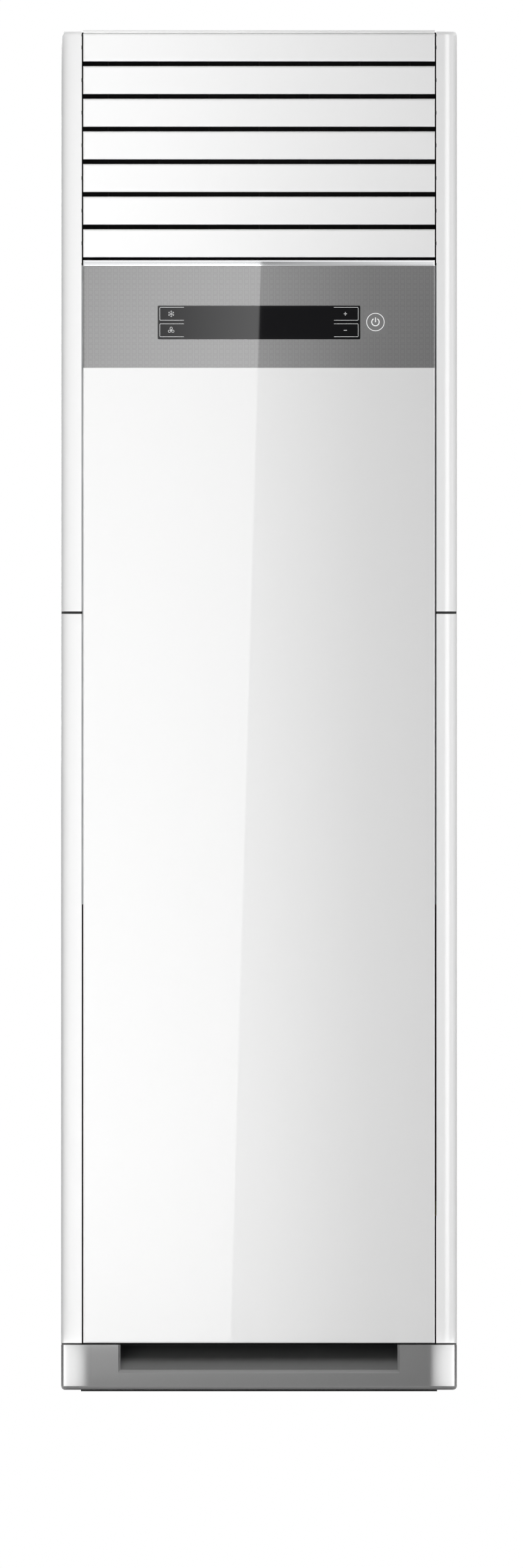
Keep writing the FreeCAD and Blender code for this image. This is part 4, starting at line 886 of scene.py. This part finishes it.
# %% World
AMBIENT = 0.2
world = bpy.data.worlds.new("studio world")
bpy.context.scene.world = world
world.use_nodes = True
background = world.node_tree.nodes["Background"]
background.inputs["Color"].default_value = (1.0, 1.0, 1.0, 1.0)
level = world.node_tree.nodes.new("ShaderNodeMapRange")
level.inputs["To Min"].default_value = AMBIENT
level.inputs["To Max"].default_value = 1.0
world.node_tree.links.new(seen_rays(world.node_tree), level.inputs["Value"])
world.node_tree.links.new(level.outputs["Result"], background.inputs["Strength"])
print("ambient light", AMBIENT)

# %% [markdown]
# ## Lamps
# A tall narrow lamp stands close in front, to the left, so the light falls off gently to the right. A short
# one below it makes up for what the floor cuts off, and a large lamp farther away fills the front evenly.
# The panel shades the finger recess, so a lamp that is linked to the plinth alone looks into it. A lamp on
# either side draws the rounded edges, and weak ones above and behind show the top and the back. The close
# lamps are hidden from reflections, where they would show as bright bars.

# %% Lamps
UNSEEN_LAMPS = ("near lamp", "low lamp", "recess lamp")
LIT_ALONE = {"recess lamp": "base_plinth"}
# name, power in watts, (width, height), place, aim
LAMPS = (
    ("near lamp", 6.8, (0.3, 2.2), Vector((-0.39, -0.8, 1.38)), Vector((-0.05, PANEL_LOW.y, 1.38))),
    ("low lamp", 1.2, (0.3, 0.2), Vector((-0.39, -0.8, 0.11)), Vector((-0.05, PANEL_LOW.y, 0.11))),
    ("recess lamp", 3.0, (0.36, 0.3), Vector((0.0, -0.75, 0.5)), Vector((0.0, PANEL_LOW.y, 0.03))),
    ("fill lamp", 13.0, (1.5, 2.4), Vector((0.0, -3.0, 1.25)), Vector((0.0, 0.0, 1.0))),
    ("left lamp", 3.0, (0.6, 2.4), Vector((-1.9, -0.25, 1.25)), Vector((0.0, -0.25, 1.25))),
    ("right lamp", 22.0, (0.6, 2.4), Vector((1.9, -0.25, 1.25)), Vector((0.0, -0.25, 1.25))),
    ("top lamp", 5.0, (1.2, 0.4), Vector((0.0, 0.1, 2.9)), Vector((0.0, 0.1, 0.0))),
    ("back lamp", 22.0, (1.2, 1.6), Vector((-1.2, 2.2, 1.6)), Vector((0.0, 0.0, 0.9))),
)


def soft_lamp(name, power, size, place, aim):
    data = bpy.data.lights.new(name, "AREA")
    data.shape = "RECTANGLE"
    data.size, data.size_y = size
    data.energy = power
    lamp = bpy.data.objects.new(name, data)
    bpy.context.scene.collection.objects.link(lamp)
    lamp.location = place
    lamp.rotation_euler = (aim - place).to_track_quat("-Z", "Y").to_euler()
    lamp.visible_camera = False
    lamp.visible_glossy = name not in UNSEEN_LAMPS
    if name in LIT_ALONE:
        receivers = bpy.data.collections.new(name + " receivers")
        receivers.objects.link(NODES[LIT_ALONE[name]])
        lamp.light_linking.receiver_collection = receivers
    print(name, power, "W at", [round(c, 2) for c in place])


for lamp_settings in LAMPS:
    soft_lamp(*lamp_settings)

# %% [markdown]
# ## Glowing cards
# A gloss front seen square on mirrors what stands straight before it, so cards there draw its reflections.
# Painting them on the panel would be wrong from any other side. A card is a flat plane with a glow that
# runs from one strength to another along an axis. Only reflections see it: it casts no shadow, and the
# camera doesn't see it.

# %% Card helpers
def glow(name, axis, start, end, first, last):
    """Light that runs from one strength to another along an axis, and stays the same beyond."""
    material = bpy.data.materials.new(name)
    material.use_nodes = True
    tree = material.node_tree
    tree.nodes.remove(tree.nodes["Principled BSDF"])
    emission = tree.nodes.new("ShaderNodeEmission")
    run = add_node(material, "ShaderNodeMapRange")
    for socket, value in (("From Min", start), ("From Max", end), ("To Min", first), ("To Max", last)):
        run.inputs[socket].default_value = value
    wire(material, axis_of(material, object_place(material), axis), run.inputs["Value"])
    wire(material, run.outputs["Result"], emission.inputs["Strength"])
    wire(material, emission.outputs["Emission"], tree.nodes["Material Output"].inputs["Surface"])
    return material


def glowing_card(name, corners, axis, run, glows):
    card = stage_plane(name, corners, glow(name.replace("_", " "), axis, *run, *glows))
    card.visible_camera = False
    card.visible_diffuse = False
    card.visible_shadow = False
    print(name, "glows from", glows[0], "to", glows[1])


print("lamps before the cards", len(bpy.data.lights))

# %% [markdown]
# ## Cards in front
# The bright card has a slanted edge, which draws the slanted line on the panel, and the darker flag beside
# it fades from that line to the right. The band, the trim and the window have cards of their own, because
# the glow that they show differs from the panel's. Two flags below give the silver plinth its tone, which is
# darker at the foot.

# %% Front cards
CARD_Y = -0.8
WINDOW_CARD_Y = CARD_Y + 10.0 * MM
BASE_FLAG_Y = -0.3
CARD_REACH = 0.5
BASE_FLAG_HALF = 0.26
LOW_FLAG_TOP = 16.0 * MM
EDGE_TOP_X = 2.5 * MM
EDGE_LOW_X = -37.5 * MM
TRIM_CARD_TOP = PANEL_HIGH.z + 30.0 * MM
CARD_GLOW = (2.6, 4.4)
BAND_CARD_GLOW = (2.3, 4.85)
TRIM_CARD_GLOW = (1.0, 0.75)
WINDOW_CARD_GLOW = (1.7, 4.0)
FLAG_GLOW = (1.4, 0.15)
TRIM_FLAG_GLOW = (0.33, 1.08)
WINDOW_FLAG_GLOW = (0.15, 0.15)
BASE_FLAG_GLOW = (0.8, 0.15)
LOW_FLAG_GLOW = (0.2, 0.0)
WHOLE_RUN = (PANEL_LOW.x, PANEL_HIGH.x)
LEFT_RUN = (PANEL_LOW.x, 0.0)
RIGHT_RUN = (0.0, PANEL_HIGH.x)
FADE_RUN = (0.0, 140.0 * MM)
WINDOW_RUN = (WINDOW_LOW.x, 0.0)


def edge_x(z):
    """X of the card's slanted edge at a height."""
    share = (z - PANEL_LOW.z) / (PANEL_HIGH.z - PANEL_LOW.z)
    return EDGE_LOW_X + share * (EDGE_TOP_X - EDGE_LOW_X)


def front_card(name, left, right, low, high, glows, run, y=CARD_Y):
    """A card between two heights; None as a side stands for the slanted edge."""
    corners = [(edge_x(z) if x is None else x, y, z)
               for x, z in ((left, low), (right, low), (right, high), (left, high))]
    glowing_card(name, corners, "X", run, glows)


front_card("slanted_card", -CARD_REACH, None, PANEL_LOW.z, BAND_LOW.z, CARD_GLOW, WHOLE_RUN)
front_card("band_card", -CARD_REACH, None, BAND_LOW.z, TRIM_LOW.z, BAND_CARD_GLOW, LEFT_RUN)
front_card("trim_card", -CARD_REACH, None, TRIM_LOW.z, TRIM_CARD_TOP, TRIM_CARD_GLOW, WHOLE_RUN)
front_card("dark_flag", None, CARD_REACH, PANEL_LOW.z, TRIM_LOW.z, FLAG_GLOW, FADE_RUN)
front_card("trim_flag", None, CARD_REACH, TRIM_LOW.z, TRIM_CARD_TOP, TRIM_FLAG_GLOW, RIGHT_RUN)
front_card("window_card", WINDOW_LOW.x, None, WINDOW_LOW.z, WINDOW_HIGH.z, WINDOW_CARD_GLOW, WINDOW_RUN,
           WINDOW_CARD_Y)
front_card("window_flag", None, WINDOW_HIGH.x, WINDOW_LOW.z, WINDOW_HIGH.z, WINDOW_FLAG_GLOW, WHOLE_RUN,
           WINDOW_CARD_Y)
front_card("base_flag", -BASE_FLAG_HALF, BASE_FLAG_HALF, LOW_FLAG_TOP, PANEL_LOW.z, BASE_FLAG_GLOW, WHOLE_RUN,
           BASE_FLAG_Y)
front_card("low_flag", -BASE_FLAG_HALF, BASE_FLAG_HALF, -CARD_REACH, LOW_FLAG_TOP, LOW_FLAG_GLOW, WHOLE_RUN,
           BASE_FLAG_Y)

# %% [markdown]
# ## Cards beside the object
# A rounded corner mirrors what stands beside the object. Bright low cards light up the plinth's corners,
# and dark flags farther back draw a thin line along the white edges, which would melt into the background
# without them.

# %% Side cards
CORNER_CARD_X = 0.37
CORNER_CARD_Y = (-0.62, -0.03)
CORNER_CARD_Z = (0.0, 0.066)
CORNER_RUN = (CORNER_CARD_Y[0], -0.2)
CORNER_GLOW = (0.5, 6.8)
EDGE_FLAG_X = 0.9
EDGE_FLAG_Y = (0.3, 3.0)
EDGE_FLAG_Z = (0.0, COVER_LOW.z)
EDGE_GLOW = (0.05, 0.05)


def side_card(name, x, y_range, z_range, run, glows):
    """An upright card beside the object, facing it."""
    (front, back), (low, high) = y_range, z_range
    corners = [(x, front, low), (x, back, low), (x, back, high), (x, front, high)]
    glowing_card(name, corners, "Y", run, glows)


for side_name, side in (("left", -1), ("right", 1)):
    side_card(side_name + "_corner_card", side * CORNER_CARD_X, CORNER_CARD_Y, CORNER_CARD_Z, CORNER_RUN,
              CORNER_GLOW)
    side_card(side_name + "_edge_flag", side * EDGE_FLAG_X, EDGE_FLAG_Y, EDGE_FLAG_Z, EDGE_FLAG_Y, EDGE_GLOW)

# %% [markdown]
# ## Camera
# Parallel rays, square to the front, because the photograph shows no perspective. It is 859 by 2576 pixels,
# and the cabinet is 650 of them wide, which gives the height of the frame in metres.

# %% Camera
PHOTO_WIDE = 859
PHOTO_TALL = 2576
CABINET_PIXELS = 650
CABINET_MID_PX = 425.4
FLOOR_LINE_PX = 2285.7
CAMERA_Y = -2.0
PIXEL = (CAD_BOX[1].x - CAD_BOX[0].x) / CABINET_PIXELS
camera_data = bpy.data.cameras.new("front camera")
camera_data.type = "ORTHO"
camera_data.ortho_scale = PHOTO_TALL * PIXEL
camera = bpy.data.objects.new("front camera", camera_data)
bpy.context.scene.collection.objects.link(camera)
CAMERA_X = (PHOTO_WIDE / 2 - CABINET_MID_PX) * PIXEL
CAMERA_Z = (FLOOR_LINE_PX - PHOTO_TALL / 2) * PIXEL
camera.location = (CAMERA_X, CAMERA_Y, CAMERA_Z)
camera.rotation_euler = (math.radians(90.0), 0.0, 0.0)
bpy.context.scene.camera = camera
bpy.context.scene.view_settings.view_transform = "Standard"
print("frame height", round(camera_data.ortho_scale, 4), "camera at", [round(c, 4) for c in camera.location])
